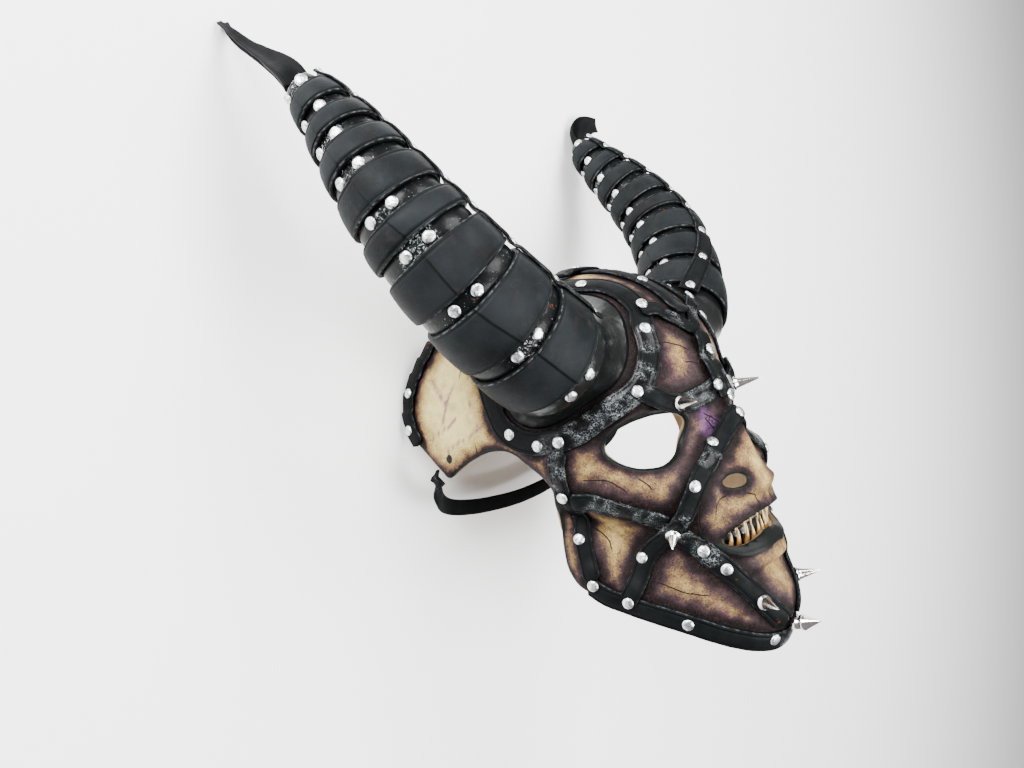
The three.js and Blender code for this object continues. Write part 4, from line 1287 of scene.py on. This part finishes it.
def makeCollar(side, one):
    root = float(horn["joints"][0])
    centre, axis, front, inward, _ = hornFrame(one, root)
    path = skin(walk(sides[side](routes[closedStrap][2]), True, collar["step"]))
    offset = path - centre
    where = np.arctan2(offset @ inward, offset @ front)
    reach = np.linalg.norm(offset - dot(offset, axis) * axis, axis=-1)
    angle = np.arange(collar["sides"]) * 2 * math.pi / collar["sides"]
    order = np.argsort(where)
    turns = np.concatenate([where[order] - 2 * math.pi, where[order], where[order] + 2 * math.pi])
    radius = np.interp((angle + math.pi) % (2 * math.pi) - math.pi, turns, np.tile(reach[order], 3))
    kernel = np.exp(-(np.arange(-6, 7) / 3.5) ** 2)
    padded = np.concatenate([radius[-6:], radius, radius[:6]])
    radius = np.convolve(padded, kernel / kernel.sum(), "valid")
    spoke = np.cos(angle)[:, None] * front + np.sin(angle)[:, None] * inward
    degrees = np.degrees(angle)

    def shell(inset, depth):
        foot = onHead(centre + spoke * (radius - inset)[:, None], axis, collar["rise"])
        neck = onHorn(one, np.full(len(angle), root - horn["strip"]), degrees, horn["lapTop"] - depth)
        top = onHorn(one, np.full(len(angle), root + collar["lap"]), degrees, horn["lapTop"] - 0.6 - depth)
        rows = [top]
        for t in np.linspace(0, 1, 14):
            rows.append(neck + (foot - neck) * t ** 1.15 - unit(neck - centre) * collar["bend"] * t * (1 - t))
        return rows

    rings = np.array(shell(collar["inset"], 0) + shell(collar["inset"] + collar["wall"], horn["wall"])[::-1])
    bundle = Bundle()
    bundle.add(rings, True)
    bundle.make(f"horn_{side}_collar_cone", "gloss_leather", [f"horn_{side}_collar"])


# Tails of loose leather at the tips: places with half thickness and half width
tails = {
    "right": {
        "flat": (0.35, 0.94, 0),
        "strips": [
            [
                (163.5, -9, 260, 3.4, 8.2), (165, -13, 270, 2.8, 7.4), (167, -24, 283, 1.9, 5.0),
                (170, -37, 297, 1.3, 3.4), (172.5, -47, 310, 1.1, 2.6), (173, -56, 320, 0.9, 1.4),
            ], [
                (163.5, -10, 256, 2.0, 5.0), (165, -20, 272, 1.8, 4.6), (167.5, -31, 286, 1.5, 3.7),
                (169, -43, 299, 1.2, 3.0), (169.5, -52, 311, 1.1, 2.7), (168.5, -57.5, 321, 1.0, 2.0),
            ],
        ],
    },
    "left": {
        "flat": (-0.35, 0.94, 0),
        "strips": [
            [
                (-140, -53, 259, 3.2, 8.6), (-139.5, -58, 268, 2.4, 8.8), (-142, -60, 276, 1.6, 9.2),
                (-149, -57.5, 281, 1.2, 9.4), (-157, -53, 282, 1.1, 8.6), (-163.5, -50, 281, 1.0, 6.8),
            ],
        ],
    },
}


def makeTail(side):
    bundle = Bundle()
    for strip in tails[side]["strips"]:
        values = np.array(strip, float)
        path = walk(values[:, :3], False, 1.5)
        share = np.linspace(0, 1, len(path))
        knots = np.linspace(0, 1, len(values))
        thick = np.interp(share, knots, values[:, 3])
        wide = np.interp(share, knots, values[:, 4]) * (1 + 0.06 * wobble(path, 7))
        run = unit(np.gradient(path, axis=0))
        across = unit(np.cross(run, tails[side]["flat"]))
        up = np.cross(across, run)
        angle = np.arange(16) * 2 * math.pi / 16
        out, over = [np.sign(way(angle)) * np.abs(way(angle)) ** 0.5 for way in (np.cos, np.sin)]
        trough = 0.35 * wide[:, None] * (out ** 2 - 0.5)[None]
        rings = path[:, None] + across[:, None] * (wide[:, None] * out)[..., None]
        rings = rings + up[:, None] * (thick[:, None] * over + trough)[..., None]
        # edge darkens the sunken middle, painted shade in the fold; rim takes the painted highlight on the
        # side edges
        edge = 0.6 * (np.abs(out) < 0.2) * (over > 0)
        rim = 0.7 * (np.abs(out) > 0.85)
        bundle.add(rings, fields={"edge": edge, "rim": rim, "glaze": 0.0})
    bundle.make(f"horn_{side}_tail_strips", "black_leather", [f"horn_{side}_tail"])


for side, one in horns.items():
    rivets = Bundle()
    for k in range(len(horn["joints"]) - 1):
        makeSleeve(side, one, k)
    for place in stripMiddles:
        swing = math.degrees(horn["rivetSpread"] / hornFrame(one, place)[4])
        for way in (-1, 1):
            angle = one["seamAt"](place) + way * swing
            hornRivet(rivets, one, place, angle, horn["lapTop"] + horn["rivetRise"])
    makeLengthwiseStrap(side, one, rivets)
    makeCollar(side, one)
    makeTail(side)
    rivets.make(f"horn_{side}_rivets", "rivet")
    print("horn made:", side)

# Floor, lights and camera
stage = {"size": 14.0, "drop": 0.0004, "colour": "fbfbfb", "world": 0.35}
bpy.ops.mesh.primitive_plane_add(size=stage["size"], location=(0, 0, -stage["drop"]))
floor = bpy.context.object
floor.name = "floor"
paper = Finish("pale floor", Roughness=0.85)
floor.data.materials.append(paper.give(Base_Color=paper.mix(paper.noise(400), stage["colour"], "f8f8f8")))

world = bpy.data.worlds.new("soft studio")
world.use_nodes = True
world.node_tree.nodes["Background"].inputs["Color"].default_value = (1, 1, 1, 1)
world.node_tree.nodes["Background"].inputs["Strength"].default_value = stage["world"]
bpy.context.scene.world = world

camera = {      # where the photograph was taken from, in the head frame
    "place": (389.02, 317.68, 73.48),
    "right": (-0.68607, 0.68162, -0.25436),
    "down": (0.17756, -0.18218, -0.9671),
    "forward": (-0.70554, -0.70866, 0.00396),
    "lens": 25.46,
    "sensor": 36.0,
}
right, down, forward = [headAxes @ np.array(camera[key]) for key in ("right", "down", "forward")]
eye = bpy.data.objects.new("camera", bpy.data.cameras.new("camera"))
bpy.context.scene.collection.objects.link(eye)
eye.data.lens = camera["lens"]
eye.data.sensor_width = camera["sensor"]
eye.data.sensor_fit = "HORIZONTAL"
eye.data.clip_start = 0.01
turn = Matrix([[right[k], -down[k], -forward[k]] for k in range(3)]).to_4x4()
eye.matrix_world = Matrix.Translation(Vector(toFrame(camera["place"]))) @ turn
bpy.context.scene.camera = eye

lights = {      # metres from the mask to the picture's right, up and towards the viewer
    "key": {"at": (-0.5, 0.75, 1.1), "size": 0.8, "power": 74},
    "fill": {"at": (1.2, -0.3, 0.9), "size": 1.0, "power": 72},
    "top": {"at": (0.9, 1.0, 0.6), "size": 0.8, "power": 40},
}
aim = Vector((0, 0, 0.1))
for name, light in lights.items():
    lamp = bpy.data.objects.new(name, bpy.data.lights.new(name, "AREA"))
    bpy.context.scene.collection.objects.link(lamp)
    lamp.data.size = light["size"]
    lamp.data.energy = light["power"]
    x, y, z = light["at"]
    lamp.location = aim + Vector(x * right - y * down - z * forward)
    lamp.rotation_euler = (aim - lamp.location).to_track_quat("-Z", "Y").to_euler()
print("stage, lights and camera set")
